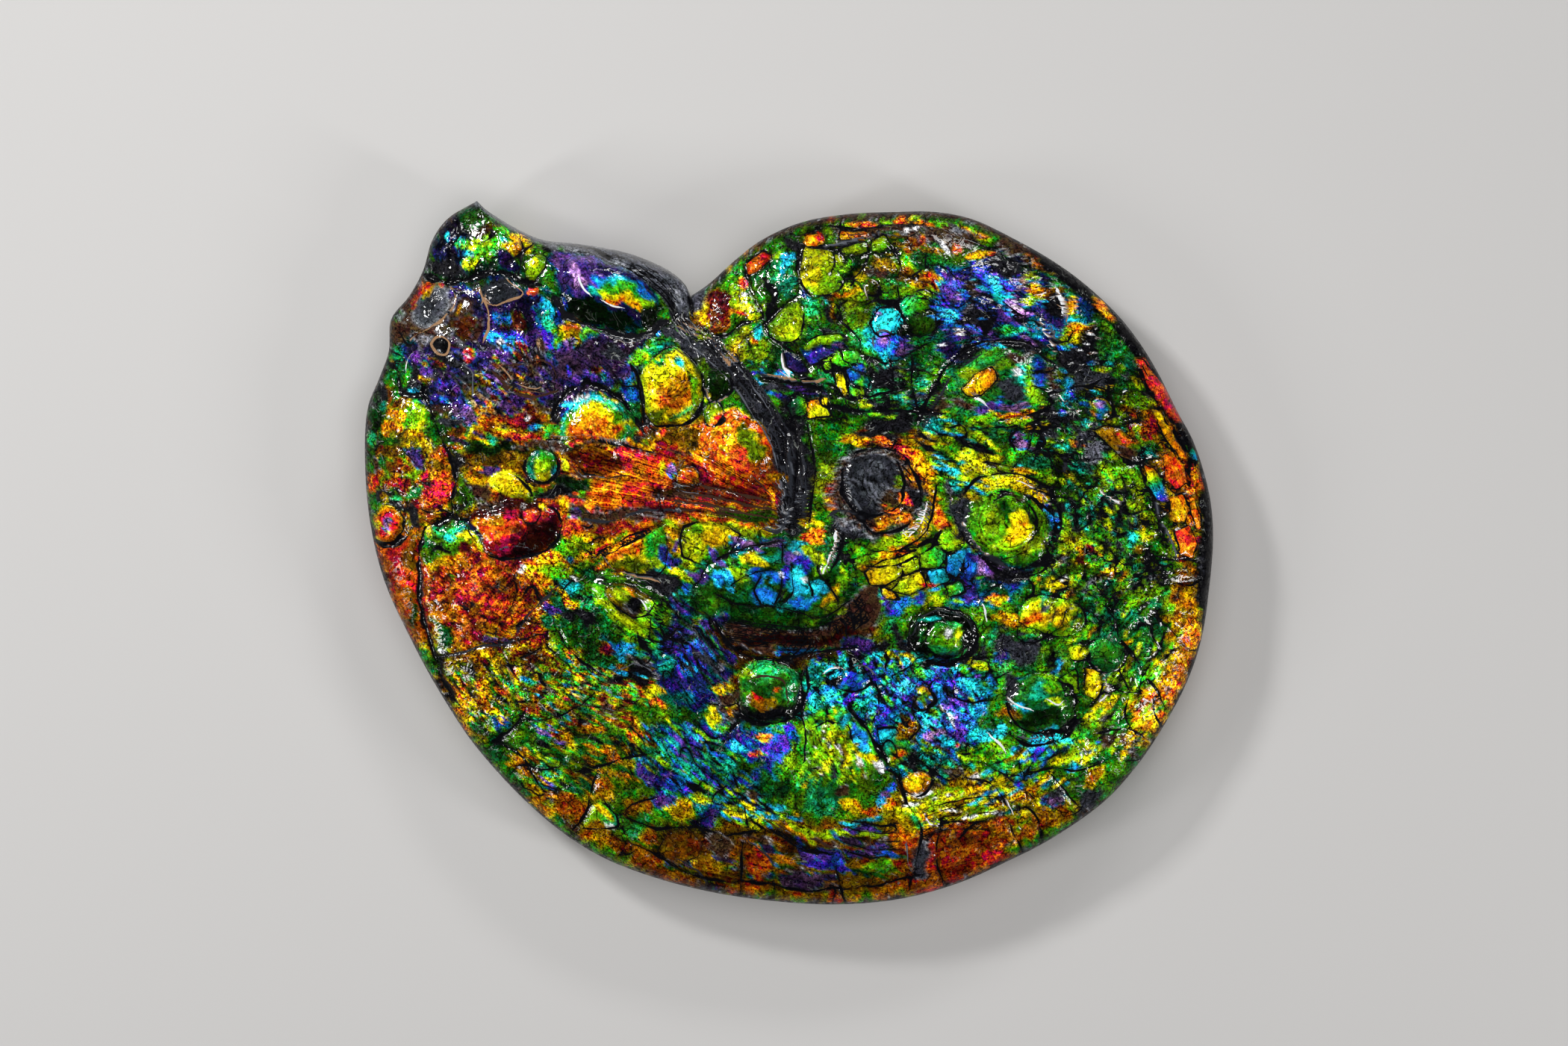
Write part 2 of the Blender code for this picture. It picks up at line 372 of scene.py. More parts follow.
class Skin:
    """The look and relief of the surface at each point."""

    def __init__(self, spots):
        count = len(spots)
        self.spots = spots
        self.wobble = np.column_stack([rough_noise(spots, 46, seed) for seed in (11, 21)])
        self.speckle = 0.2 * rough_noise(spots, 11, 81, 2)
        self.loose = spots + LOOSE_BEND * self.wobble
        self.firm = spots + FIRM_BEND * self.wobble
        self.loose_finder = Finder(self.loose)
        self.firm_finder = Finder(self.firm)
        self.broken = np.clip(0.75 + 1.1 * rough_noise(spots, 30, 101, 3), 0.1, 1.6)
        # nacre's place on its scale, light, mottling, and how much is bare rock
        self.tint, self.shade, self.vary = (np.full(count, 0.5) for _ in range(3))
        self.stone, self.tone = np.zeros(count), np.zeros(count)
        # strengths of the large and small plates, the folds and the streaks
        self.large, self.small = np.full(count, 0.2), np.full(count, 0.2)
        self.fold, self.streak = np.full(count, 0.25), np.zeros(count)
        self.across = spots[:, 1].copy()
        # the nearest crack in half widths, its edge in pixels, and its filling
        self.crack, self.gap = np.full(count, FAR), np.full(count, FAR)
        self.seam = np.zeros(count)
        # height over the plain flank in millimetres, and clear polish
        self.rise, self.polish = np.zeros(count), np.ones(count)

    def paint(self, cover, start, end, share, shade, near=slice(None)):
        """Colour from start to end, where cover is 1."""
        scale, stone = (NACRE, 0.0) if start in NACRE else (ROCK, 1.0)
        value = mix(scale[start][0], scale[end][0], share)
        field = self.tone if stone else self.tint
        for layer, new in ((field, value), (self.stone, stone), (self.shade, shade)):
            layer[near] = mix(layer[near], new, cover)

    def calm(self, cover, near=slice(None)):
        """Keeps a finished feature nearly free of the folds and plates laid over all."""
        for layer in (self.fold, self.large, self.small):
            layer[near] = mix(layer[near], CALMED * layer[near], cover)
        self.vary[near] = mix(self.vary[near], CALM_VARY, cover)

    def oval(self, finder, start, roughness, x, y, wide, high, colour, shade, turn=0):
        """A coloured oval whose edge fades from a reach of start."""
        near = finder.near((x, y), 1.5 * max(wide, high) + 4)
        reach = oval_reach(finder.spots[near], x, y, wide, high, turn) + roughness * self.speckle[near]
        self.paint(1 - ease(start, 1.2, reach), colour, colour, 0.0, shade, near)

    def zone(self, *row):
        """A colour with a wandering, speckled edge."""
        self.oval(self.loose_finder, 0.85, 1.0, *row)

    def mark(self, *row):
        """A colour with a firm edge."""
        self.oval(self.firm_finder, 0.75, 0.0, *row)

    def zones(self, *rows):
        """Many zones: x, y, half width, half height, colour, shade and turn."""
        for row in rows:
            self.zone(*row)

    def marks(self, *rows):
        """Many firm marks, in rows like those of the zones."""
        for row in rows:
            self.mark(*row)

    def plate(self, points, start, end, shade, crack=1.3):
        """A cracked-off plate, its colour running from its first corner to the far end."""
        corners = np.array(points, float)
        loop = np.vstack((corners, corners[:1]))
        near = self.firm_finder.near(loop, 20)
        firm = self.firm[near]
        away = np.abs(signed_gap(loop, firm))
        inside = np.zeros(len(firm), bool)
        for (x0, y0), (x1, y1) in zip(loop[:-1], loop[1:]):
            spans = (firm[:, 1] > y0) != (firm[:, 1] > y1)
            rise = y1 - y0 if y1 != y0 else 1e-9
            inside ^= spans & (firm[:, 0] < x0 + (firm[:, 1] - y0) * (x1 - x0) / rise)
        gap = np.full(len(self.firm), -FAR)
        gap[near] = np.where(inside, away, -away)
        reach = corners - corners[0]
        far = reach[np.argmax(np.hypot(*reach.T))]
        share = np.clip((self.firm - corners[0]) @ far / (far @ far), 0, 1)
        cover = ease(-1.5, 1.5, gap)
        self.paint(cover, start, end, share, shade)
        self.calm(cover)
        self.rise += 0.5 * (1 - np.exp(-np.clip(gap, 0, None) / 4))
        if crack:
            self.cut(gap, crack, 0.5, "black")

    def boss(self, x, y, wide, high, turn, rise, inner, outer, shade, ring=0):
        """A dome, its colour running from the middle to the rim, in a dark ring, with painted shade on its
        lower right and painted light on its upper left.
        """
        near = self.firm_finder.near((x, y), 1.5 * max(wide, high) + 12)
        spots = self.spots[near] + DOME_BEND * self.wobble[near]
        reach = oval_reach(spots, x, y, wide, high, turn)
        self.rise[near] += rise * np.clip(1 - reach**2.4, 0, 1) ** 0.8
        away = spots - (x, y)
        middle_gap = np.hypot(*away.T)
        # painted shade: darker towards the lower right, lighter towards the upper left
        shadow = (away @ SHADOW_WAY) / np.maximum(middle_gap, 1) * np.clip(reach, 0, 1) ** 2
        cover = 1 - ease(0.93, 1.06, reach)
        self.calm(cover, near)
        self.paint(cover, inner, outer, np.clip(reach, 0, 1) ** 2, shade * (1 - 0.4 * shadow), near)
        if ring:
            gap = np.full(len(self.firm), FAR)
            gap[near] = (reach - 1.03) * middle_gap / np.maximum(reach, 0.05)
            half = np.full(len(self.firm), float(ring))
            # the dark ring is painted wider on the shaded lower right side
            half[near] *= 0.75 + 0.7 * shadow + 0.5 * self.wobble[near, 0]
            self.cut(gap, np.maximum(half, 0.4), 0.35 * ring, "black")

    def cut(self, gap, half, depth, colour):
        """A line in the surface, given the signed gap to it in pixels."""
        away = np.abs(gap)
        half = half * self.broken
        closer = away - half < self.gap
        self.crack = np.where(closer, gap / half, self.crack)
        self.gap = np.where(closer, away - half, self.gap)
        self.seam = np.where(closer, ROCK[colour][0], self.seam)
        self.rise -= depth * np.exp(-((away / (1.3 * np.maximum(half, GROOVE_SIDE))) ** 2))
        # painted shade on the groove's sides, as if cast in its hollow
        painted_side_shade = np.exp(-((away / (half + GROOVE_SIDE)) ** 2))
        self.shade *= 1 - GROOVE_PAINTED_SHADE * (depth > 0) * painted_side_shade

    def line(self, points, half, depth, colour="black"):
        """A groove, or a ridge where the depth is below zero."""
        run = smooth_run(points)
        near = self.firm_finder.near(run, 3 * half + 20)
        gap = np.full(len(self.firm), FAR)
        gap[near] = signed_gap(run, self.firm[near])
        self.cut(gap, half, depth, colour)

    def flecks(self, x, y, wide, high, turn, count, size, colours, shade, stretch=1.0, lean=None):
        """Small spots strewn over an oval, or strands that lean one way."""
        chance = np.random.default_rng(int(x * 7 + y))
        c, s = math.cos(math.radians(turn)), math.sin(math.radians(turn))
        for _ in range(count):
            reach, angle, big, tall, swing, light, pick = chance.random(7)
            right = wide * math.sqrt(reach) * math.cos(2 * math.pi * angle)
            up = high * math.sqrt(reach) * math.sin(2 * math.pi * angle)
            place = x + right * c - up * s, y - right * s - up * c
            if lean is None:
                way = 180 * swing
            elif lean == "round":
                way = math.degrees(math.atan2(y - place[1], place[0] - x)) + 90
            else:
                way = lean + 40 * (swing - 0.5)
            half = size * (0.6 + 0.8 * big)
            colour = colours[int(pick * len(colours))]
            high_half = half * (0.4 + 0.5 * tall)
            self.mark(*place, half * stretch, high_half, colour, shade * (0.5 + light), way)

    def area(self, oval, start=0.7, end=1.3):
        """1 inside a broad oval and 0 outside it, with a wide soft edge."""
        return 1 - ease(start, end, oval_reach(self.loose, *oval))

    def blend_in(self, cover, **layers):
        """Mixes new values into the layers of these names, where cover is 1."""
        for name, value in layers.items():
            setattr(self, name, mix(getattr(self, name), value, cover))

    def texture(self, *row):
        """How strong the large and small plates and the mottling are in an oval."""
        *oval, large, small, vary = row
        self.blend_in(self.area(oval, start=0.6), large=large, small=small, vary=vary)

    def flow(self, *row):
        """Streaks along one direction in an oval, or round its middle."""
        *oval, way, strength = row
        right, down = self.spots[:, 0] - oval[0], self.spots[:, 1] - oval[1]
        if way == "round":
            across = np.hypot(right, down)
        else:
            c, s = math.cos(math.radians(way)), math.sin(math.radians(way))
            across = right * s + down * c
        self.blend_in(self.area(oval), across=across, streak=strength)

    def rays(self, *row):
        """Streaks in an oval that run together at a point on the right."""
        *oval, meet_x, meet_y, size, strength = row
        across = size * np.arctan2(self.spots[:, 1] - meet_y, meet_x - self.spots[:, 0])
        self.blend_in(self.area(oval, 0.8, 1.2), across=across, streak=strength)

    def dim(self, *row):
        """Darkens or brightens an oval as a whole."""
        *oval, share = row
        self.shade *= mix(1.0, share, self.area(oval))

    def folds(self, *row):
        """How strong the rounded lobes and the creases between them are in an oval."""
        *oval, strength = row
        self.blend_in(self.area(oval), fold=strength)

    def add_folds(self):
        """Rounded lobes, with dark creases wandering between them, painted shade near the creases and painted
        light on the lobes.
        """
        for size, seed, height in FOLDS:
            bent = self.spots + 0.3 * size * np.column_stack(
                [rough_noise(self.spots, size, seed + k, 2) for k in (2, 5)]
            )
            value = noise(bent, size, seed)
            slope = np.hypot(
                noise(bent + (1.0, 0.0), size, seed) - value,
                noise(bent + (0.0, 1.0), size, seed) - value,
            )
            gap = value / np.maximum(slope, 0.5 / size)
            lobe = 1 - np.exp(-np.abs(gap) / (0.13 * size))
            self.rise += height * self.fold * (lobe - 0.5)
            # painted shade near the creases, painted light on the lobes
            self.shade *= 1 + self.fold * 0.5 * (lobe - 0.4)
            broken = rough_noise(self.spots, 1.3 * size, seed + 80)
            half = np.clip(0.018 * size * self.fold + 1.6 * broken, 0.2, 2.2)
            crossed = (self.fold > 0.15) & (half > 0.7)
            self.cut(np.where(crossed, gap, FAR), half, 0.4 * self.fold, "black")

    def add_plates(self):
        """Splits the surface into plates, each with its own height and colour."""
        for (size, seed), strength in ((LARGE_PLATES, self.large), (SMALL_PLATES, self.small)):
            bent = np.column_stack([rough_noise(self.spots, 26, seed + k, 3) for k in (90, 95)])
            name, border = cells(self.spots + 10 * bent, size, seed)
            within = np.minimum(np.abs(border) / 6, 1)
            self.rise += strength * (0.7 * (name - 0.5) + 0.5 * within)
            self.tint += strength * 0.22 * (name - 0.5)
            self.shade *= 1 + strength * 0.7 * ((name * 7) % 1 - 0.5)
            broken = rough_noise(self.spots, 1.6 * size, seed + 80)
            half = np.clip(1.2 * strength + 1.8 * broken, 0.2, 1.9)
            crossed = (strength > 0.25) & (half > 0.5)
            self.cut(np.where(crossed, border, FAR), half, 0.5 * strength, "black")

    def add_ripples(self):
        """Unevenness all over, and ribs along the streaks."""
        self.rise += 0.5 * rough_noise(self.spots, 60, 31) + 0.25 * noise(self.spots, 14, 41)
        lie = np.column_stack((self.across, 0.12 * self.spots.sum(1)))
        ribs = noise(lie, 13, 51) + 0.5 * noise(lie + 40, 7, 53)
        self.rise += 0.6 * self.streak * ribs
        self.tint += 0.02 * ribs + (0.02 + 0.03 * self.vary) * rough_noise(self.spots, 22, 61, 3)
        glow = 0.3 * rough_noise(self.spots, 44, 71, 4) + 0.5 * self.streak * ribs
        glow += (0.2 + 0.35 * self.vary) * rough_noise(self.spots, 13, 75, 2)
        self.shade *= 0.95 * np.exp(glow)

    def colours(self):
        """The finished colour at each point."""
        def look_up(scale, value):
            places, colours = zip(*sorted(scale.values()))
            return np.column_stack([np.interp(value, places, channel) for channel in zip(*colours)])

        nacre = look_up(NACRE, self.tint) * (SHADE_GAIN * self.shade[:, None] ** 2)
        rock = look_up(ROCK, self.tone)
        return np.clip(mix(nacre, rock, self.stone[:, None]), 0, 1)


def base_colours(skin):
    """The broad colours, textures and streaks that the finer regions lie on."""
    skin.zones(
        (525, 545, 42, 85, "green", 0.5), (572, 655, 36, 48, "red", 0.7),
        (545, 780, 40, 90, "scarlet", 0.5, 14), (640, 320, 60, 60, "green", 0.2),
        (650, 470, 110, 90, "indigo", 0.35), (660, 545, 90, 45, "orange", 0.45),
        (800, 490, 70, 55, "mauve", 0.3), (900, 515, 60, 60, "leaf", 0.6), (805, 560, 60, 34, "amber", 0.7),
        (900, 635, 180, 80, "scarlet", 0.65, -8), (850, 720, 130, 50, "orange", 0.55, 8),
        (680, 620, 70, 40, "amber", 0.4), (690, 700, 70, 45, "scarlet", 0.6),
        (660, 810, 90, 90, "scarlet", 0.55), (640, 930, 60, 60, "amber", 0.5),
        (850, 810, 100, 70, "green", 0.55, -18), (770, 940, 120, 100, "leaf", 0.45),
        (920, 880, 50, 100, "blue", 0.35, 30), (1040, 780, 110, 60, "teal", 0.6),
        (1030, 850, 130, 45, "orange", 0.15), (960, 730, 70, 30, "lime", 0.6),
        (1180, 400, 180, 90, "green", 0.5), (1340, 420, 90, 70, "indigo", 0.35),
        (1345, 510, 80, 60, "emerald", 0.4), (1350, 700, 90, 85, "leaf", 0.6),
        (1500, 600, 60, 120, "leaf", 0.45, -20), (1570, 600, 40, 120, "orange", 0.6, -14),
        (1220, 620, 60, 50, "orange", 0.4), (1220, 760, 80, 50, "lime", 0.7),
        (1320, 770, 60, 40, "blue", 0.45), (1420, 815, 70, 45, "green", 0.5),
        (1395, 945, 90, 60, "green", 0.5, -25), (1560, 900, 40, 90, "amber", 0.7, -20),
        (1270, 950, 50, 60, "blue", 0.5), (1160, 940, 60, 60, "azure", 0.5),
        (1110, 1020, 50, 70, "leaf", 0.6), (950, 1020, 90, 60, "blue", 0.4),
        (1300, 1080, 150, 55, "gold", 0.55, 10), (1050, 1150, 200, 55, "amber", 0.3),
        (1260, 1150, 100, 50, "orange", 0.4, 15),
    )
    for texture in (
        (1180, 420, 200, 120, 0, 0.3, 0.2, 0.5), (1230, 760, 120, 60, 0, 0.4, 0.25, 0.4),
        (1480, 640, 130, 200, 0, 0.4, 0.3, 0.6), (690, 850, 150, 150, 0, 0.1, 0.1, 0.8),
        (630, 790, 80, 90, 0, 0.1, 0.1, 0.4), (650, 490, 120, 80, 0, 0.1, 0.1, 0.6),
        (900, 640, 180, 90, 0, 0.0, 0.0, 0.3), (1150, 1160, 320, 60, 0, 0.1, 0.0, 0.3),
        (1180, 960, 150, 100, 0, 0.4, 0.2, 0.7), (1040, 780, 110, 60, 0, 0.3, 0.2, 0.5),
    ):
        skin.texture(*texture)
    for fold in (
        (1440, 720, 170, 260, 0, 0.7), (1250, 940, 170, 90, 0, 0.7), (1180, 540, 130, 60, 0, 0.6),
        (1380, 470, 110, 80, 0, 0.6), (960, 1010, 110, 90, -30, 0.4), (900, 640, 190, 90, -8, 0.1),
        (1100, 1150, 260, 60, -4, 0.15), (640, 800, 90, 110, 0, 0.2), (580, 640, 70, 130, 0, 0.3),
        (1040, 790, 110, 60, 0, 0.1), (640, 930, 70, 60, 0, 0.2), (820, 390, 90, 50, -24, 0.0),
        (900, 520, 44, 56, 0, 0.1), (692, 698, 60, 46, 0, 0.1), (1172, 652, 46, 46, 0, 0.1),
    ):
        skin.folds(*fold)
    for flow in (
        (900, 640, 190, 90, 0, -10, 1.0), (930, 880, 60, 120, 25, -52, 1.0),
        (1020, 1120, 160, 60, -15, -24, 1.0), (1040, 850, 130, 40, 0, 4, 0.8),
        (850, 365, 110, 26, -24, -26, 1.0),
    ):
        skin.flow(*flow)


def mouth_and_horn(skin):
    """The horn at the mouth's tip, the lenses under it and the mouth's broken edge."""
    skin.zones(
        (612, 315, 32, 40, "indigo", 0.12), (632, 292, 22, 14, "green", 0.3),
        (648, 307, 20, 8, "orange", 0.2), (668, 312, 9, 8, "leaf", 0.95), (640, 330, 26, 12, "lime", 0.85),
        (622, 326, 8, 6, "emerald", 0.9), (664, 345, 24, 12, "green", 0.8, -10),
        (675, 330, 16, 10, "leaf", 0.9), (676, 326, 6, 4, "teal", 1.1), (692, 316, 12, 8, "orange", 0.9, -20),
        (690, 334, 12, 10, "amber", 0.8), (706, 330, 10, 10, "gold", 0.9),
    )
    skin.marks((598, 317, 3, 6, "cyan", 1.0), (630, 341, 8, 3, "teal", 0.9), (632, 352, 12, 6, "yellow", 1.2))
    skin.zones(
        (652, 350, 12, 8, "leaf", 0.8), (600, 357, 32, 14, "coal", 0.5), (590, 340, 10, 10, "indigo", 0.35),
        (686, 355, 12, 12, "indigo", 0.25),
    )
    skin.line([(696, 318), (700, 335), (698, 352), (692, 372)], 1.5, 0.6)
    skin.line([(684, 352), (700, 338), (714, 326)], 1.2, 0.5)
    skin.plate([(703, 372), (702, 352), (720, 342), (734, 346), (732, 360), (713, 378)], "lime", "leaf", 0.9)
    skin.mark(717, 352, 6, 6, "yellow", 1.2)
    skin.zone(745, 336, 12, 9, "black", 0.5)
    skin.line([(573, 371), (588, 377), (602, 379), (640, 369), (665, 367), (690, 372), (715, 380)], 5, 2.2)
    # lenses of dark glass with tan rims
    skin.zone(570, 420, 40, 44, "umber", 0.5, 30)
    skin.boss(576, 412, 25, 33, -30, 2.2, "slate", "umber", 0.5)
    skin.zone(566, 400, 5, 24, "scarlet", 0.8, -40)
    skin.marks((575, 393, 3, 14, "gold", 0.8, -35), (590, 383, 4, 3, "red", 0.9))
    skin.line(
        [(600, 382), (609, 398), (604, 414), (592, 430), (574, 441), (556, 448), (548, 456)], 1.5, 0.3, "tan",
    )
    skin.boss(627, 428, 23, 34, 0, 2.0, "umber", "umber", 0.5)
    skin.zones((622, 440, 16, 14, "scarlet", 0.22), (640, 415, 8, 16, "indigo", 0.2))
    skin.mark(615, 415, 2.5, 8, "amber", 0.6, -15)
    skin.line([(650, 398), (655, 418), (655, 440), (649, 456)], 1.4, 0.3, "tan")
    skin.zone(622, 390, 24, 9, "indigo", 0.45, 10)
    skin.line([(604, 386), (625, 390), (640, 384)], 1.5, -0.3, "umber")
    skin.boss(668, 391, 25, 15, -4, 2.4, "slate", "slate", 0.7)
    skin.line(
        [(676, 374), (690, 384), (699, 395), (684, 402), (662, 408), (648, 400), (643, 386)], 1.3, 0.3, "tan",
    )
    skin.boss(590, 462, 13, 14, 0, 1.2, "black", "coal", 0.4)
    skin.line(
        [(578, 462), (584, 453), (594, 451), (602, 460), (598, 473), (588, 475), (579, 464)], 1.1, 0.2, "tan",
    )
    skin.zones((590, 482, 22, 7, "black", 0.4), (530, 445, 14, 20, "umber", 0.4))
    # beads and glints among them
    skin.boss(711, 389, 7, 8, 20, 1.0, "red", "crimson", 1.0)
    skin.zones(
        (700, 420, 20, 22, "indigo", 0.15), (690, 432, 16, 14, "crimson", 0.25),
        (674, 426, 12, 8, "azure", 0.6), (668, 454, 14, 10, "cyan", 0.95), (684, 458, 14, 10, "azure", 0.8),
    )
    skin.mark(672, 457, 4, 4, "white", 1.0)
    skin.zone(690, 472, 14, 8, "violet", 0.6)
    skin.boss(723, 460, 6, 13, 0, 1.2, "umber", "umber", 1.0)
    skin.marks(
        (721, 458, 2.5, 9, "tan", 1.0), (712, 481, 12, 3, "tan", 1.0, 5), (722, 513, 14, 3, "tan", 1.0),
    )
    skin.boss(628, 475, 9, 11, 15, 1.5, "crimson", "orange", 0.9)
    skin.mark(626, 475, 3, 3, "white", 1.0)
    # the mouth's broken edge
    skin.plate(
        [(728, 321), (775, 326), (837, 336), (888, 356), (930, 392), (905, 428), (893, 412), (875, 388),
         (850, 364), (800, 340), (760, 333)], "grey", "slate", 1.0, 0,
    )
    skin.line([(640, 271), (668, 292), (700, 311), (730, 323)], 3.5, -0.4, "grey")
    skin.zone(906, 408, 12, 14, "black", 0.4)
    for shift in (0, 9, 18, 27):
        skin.line(
            [(775 + shift, 330 + shift / 3), (835, 342 + shift / 2), (880, 366 + shift * 0.9),
             (905, 392 + shift)], 1.0, 0.6,
        )


def violet_oval(skin):
    """The large oval boss behind the mouth, and what lies round it."""
    skin.zone(810, 355, 60, 22, "umber", 0.3, -16)
    skin.boss(812, 393, 74, 42, -24, 5.0, "indigo", "indigo", 0.3)
    skin.zones(
        (757, 368, 16, 26, "violet", 0.55), (790, 366, 30, 14, "violet", 0.7, -20),
        (772, 370, 8, 10, "mauve", 1.2), (762, 388, 16, 10, "violet", 0.6), (752, 388, 5, 12, "azure", 0.5),
        (790, 420, 60, 18, "green", 0.1, -18), (826, 381, 36, 10, "cyan", 0.85, -20),
        (790, 388, 14, 9, "teal", 0.9, -30), (838, 391, 34, 10, "green", 0.85, -22),
        (818, 393, 22, 7, "leaf", 0.9, -25), (838, 401, 28, 7, "yellow", 0.95, -18),
        (826, 402, 10, 4, "orange", 0.8, -18), (852, 413, 16, 4, "amber", 0.7, -22),
        (866, 407, 8, 11, "leaf", 0.85, 20), (858, 390, 16, 6, "azure", 0.7, -42),
        (873, 425, 14, 18, "green", 0.08),
    )
    # painted highlights: thin white lines on the boss's ridges
    for run in (
        [(776, 374), (780, 387), (790, 396)], [(810, 403), (820, 408), (832, 413)],
    ):
        skin.line(run, 1.3, -0.2, "white")
    skin.line([(742, 398), (762, 424), (795, 440), (832, 450), (868, 446), (893, 430)], 6, 2.0, "coal")
    skin.line([(775, 432), (800, 446), (838, 457), (872, 450)], 1.8, -0.3, "umber")
    skin.mark(878, 447, 8, 5, "azure", 0.9, 20)
    # bright flecks below on its left
    skin.zones(
        (737, 415, 18, 7, "cyan", 0.95, -52), (752, 412, 16, 5, "azure", 0.6, -50),
        (744, 430, 16, 10, "emerald", 0.9, -30), (752, 440, 12, 8, "leaf", 0.9),
        (734, 446, 6, 24, "azure", 0.6, 15),
    )
    skin.boss(766, 438, 14, 9, -10, 1.0, "scarlet", "gold", 0.95)
    skin.zones(
        (764, 454, 15, 13, "gold", 0.6), (750, 460, 8, 12, "leaf", 0.7), (766, 460, 6, 5, "mauve", 1.1),
    )
    skin.boss(789, 448, 13, 9, 15, 1.2, "leaf", "emerald", 0.95)
    skin.zone(805, 450, 7, 8, "emerald", 0.7)
    skin.mark(783, 462, 2.5, 7, "teal", 1.0, -10)
    skin.zone(802, 464, 10, 8, "violet", 0.6)
    skin.mark(838, 471, 3.5, 10, "cyan", 1.0, 30)
    skin.zones((850, 462, 24, 10, "mauve", 0.25, 20), (925, 455, 45, 18, "slate", 0.5, -28))


def outer_strip(skin):
    """The strip outside the long groove, down the left edge."""
    skin.zones(
        (506, 528, 9, 20, "coal", 0.4, -20), (520, 500, 11, 12, "green", 0.75),
        (517, 528, 8, 13, "orange", 0.4), (529, 524, 7, 16, "green", 0.5), (509, 540, 9, 8, "teal", 0.5),
        (546, 534, 18, 12, "amber", 0.35), (565, 534, 9, 10, "emerald", 0.9),
        (540, 508, 8, 15, "green", 0.75, -10), (532, 478, 8, 10, "emerald", 0.85),
    )
    skin.marks((525, 486, 3, 4, "orange", 0.8), (555, 521, 7, 4, "cyan", 1.0))
    skin.zone(556, 500, 9, 18, "coal", 0.4, 25)
    skin.line([(553, 474), (545, 484), (541, 496)], 1.0, -0.2, "white")
    skin.line([(523, 487), (532, 498), (534, 514), (543, 526), (560, 530), (571, 524)], 3, 1.2)
    skin.zone(568, 484, 14, 12, "indigo", 0.55)
    skin.mark(568, 487, 5, 4, "amber", 0.6)
    skin.zones(
        (569, 504, 8, 6, "amber", 0.4), (505, 565, 12, 20, "green", 0.2), (560, 562, 20, 24, "leaf", 0.6),
        (577, 576, 12, 20, "green", 0.65, 15), (556, 573, 4, 10, "yellow", 0.8),
        (534, 552, 13, 7, "orange", 0.7, -10), (527, 562, 9, 7, "leaf", 0.6),
        (530, 574, 11, 14, "orange", 0.85),
    )
    skin.mark(498, 590, 6, 12, "emerald", 0.9, -25)
    skin.zones(
        (558, 592, 20, 12, "gold", 0.45, -20), (572, 603, 20, 6, "gold", 0.85, -38),
        (528, 605, 20, 10, "amber", 0.35), (592, 614, 11, 14, "scarlet", 0.75),
        (558, 616, 6, 16, "mauve", 0.5, 25), (580, 630, 18, 16, "amber", 0.5),
        (550, 632, 12, 9, "leaf", 0.65), (530, 625, 16, 8, "orange", 0.3), (534, 645, 18, 7, "scarlet", 0.6),
        (564, 637, 8, 8, "red", 0.7), (573, 650, 8, 6, "coal", 0.4), (591, 650, 12, 16, "scarlet", 0.8),
        (578, 674, 22, 14, "red", 0.75), (500, 645, 9, 13, "orange", 0.6),
        (520, 668, 20, 10, "coal", 0.4, -20), (553, 659, 11, 5, "emerald", 0.8, 10),
    )
    skin.mark(532, 667, 12, 2.5, "emerald", 0.8, 5)
    skin.line([(538, 600), (550, 614), (561, 626)], 1.0, 0.4)
    skin.line(
        [(569, 520), (577, 545), (583, 570), (592, 592), (603, 612), (608, 640), (606, 668), (604, 688),
         (590, 700), (572, 706), (564, 730), (561, 765), (563, 805), (571, 845), (580, 875), (590, 905),
         (606, 935)], 4, 2.2,
    )
    skin.zone(613, 625, 8, 22, "coal", 0.4)


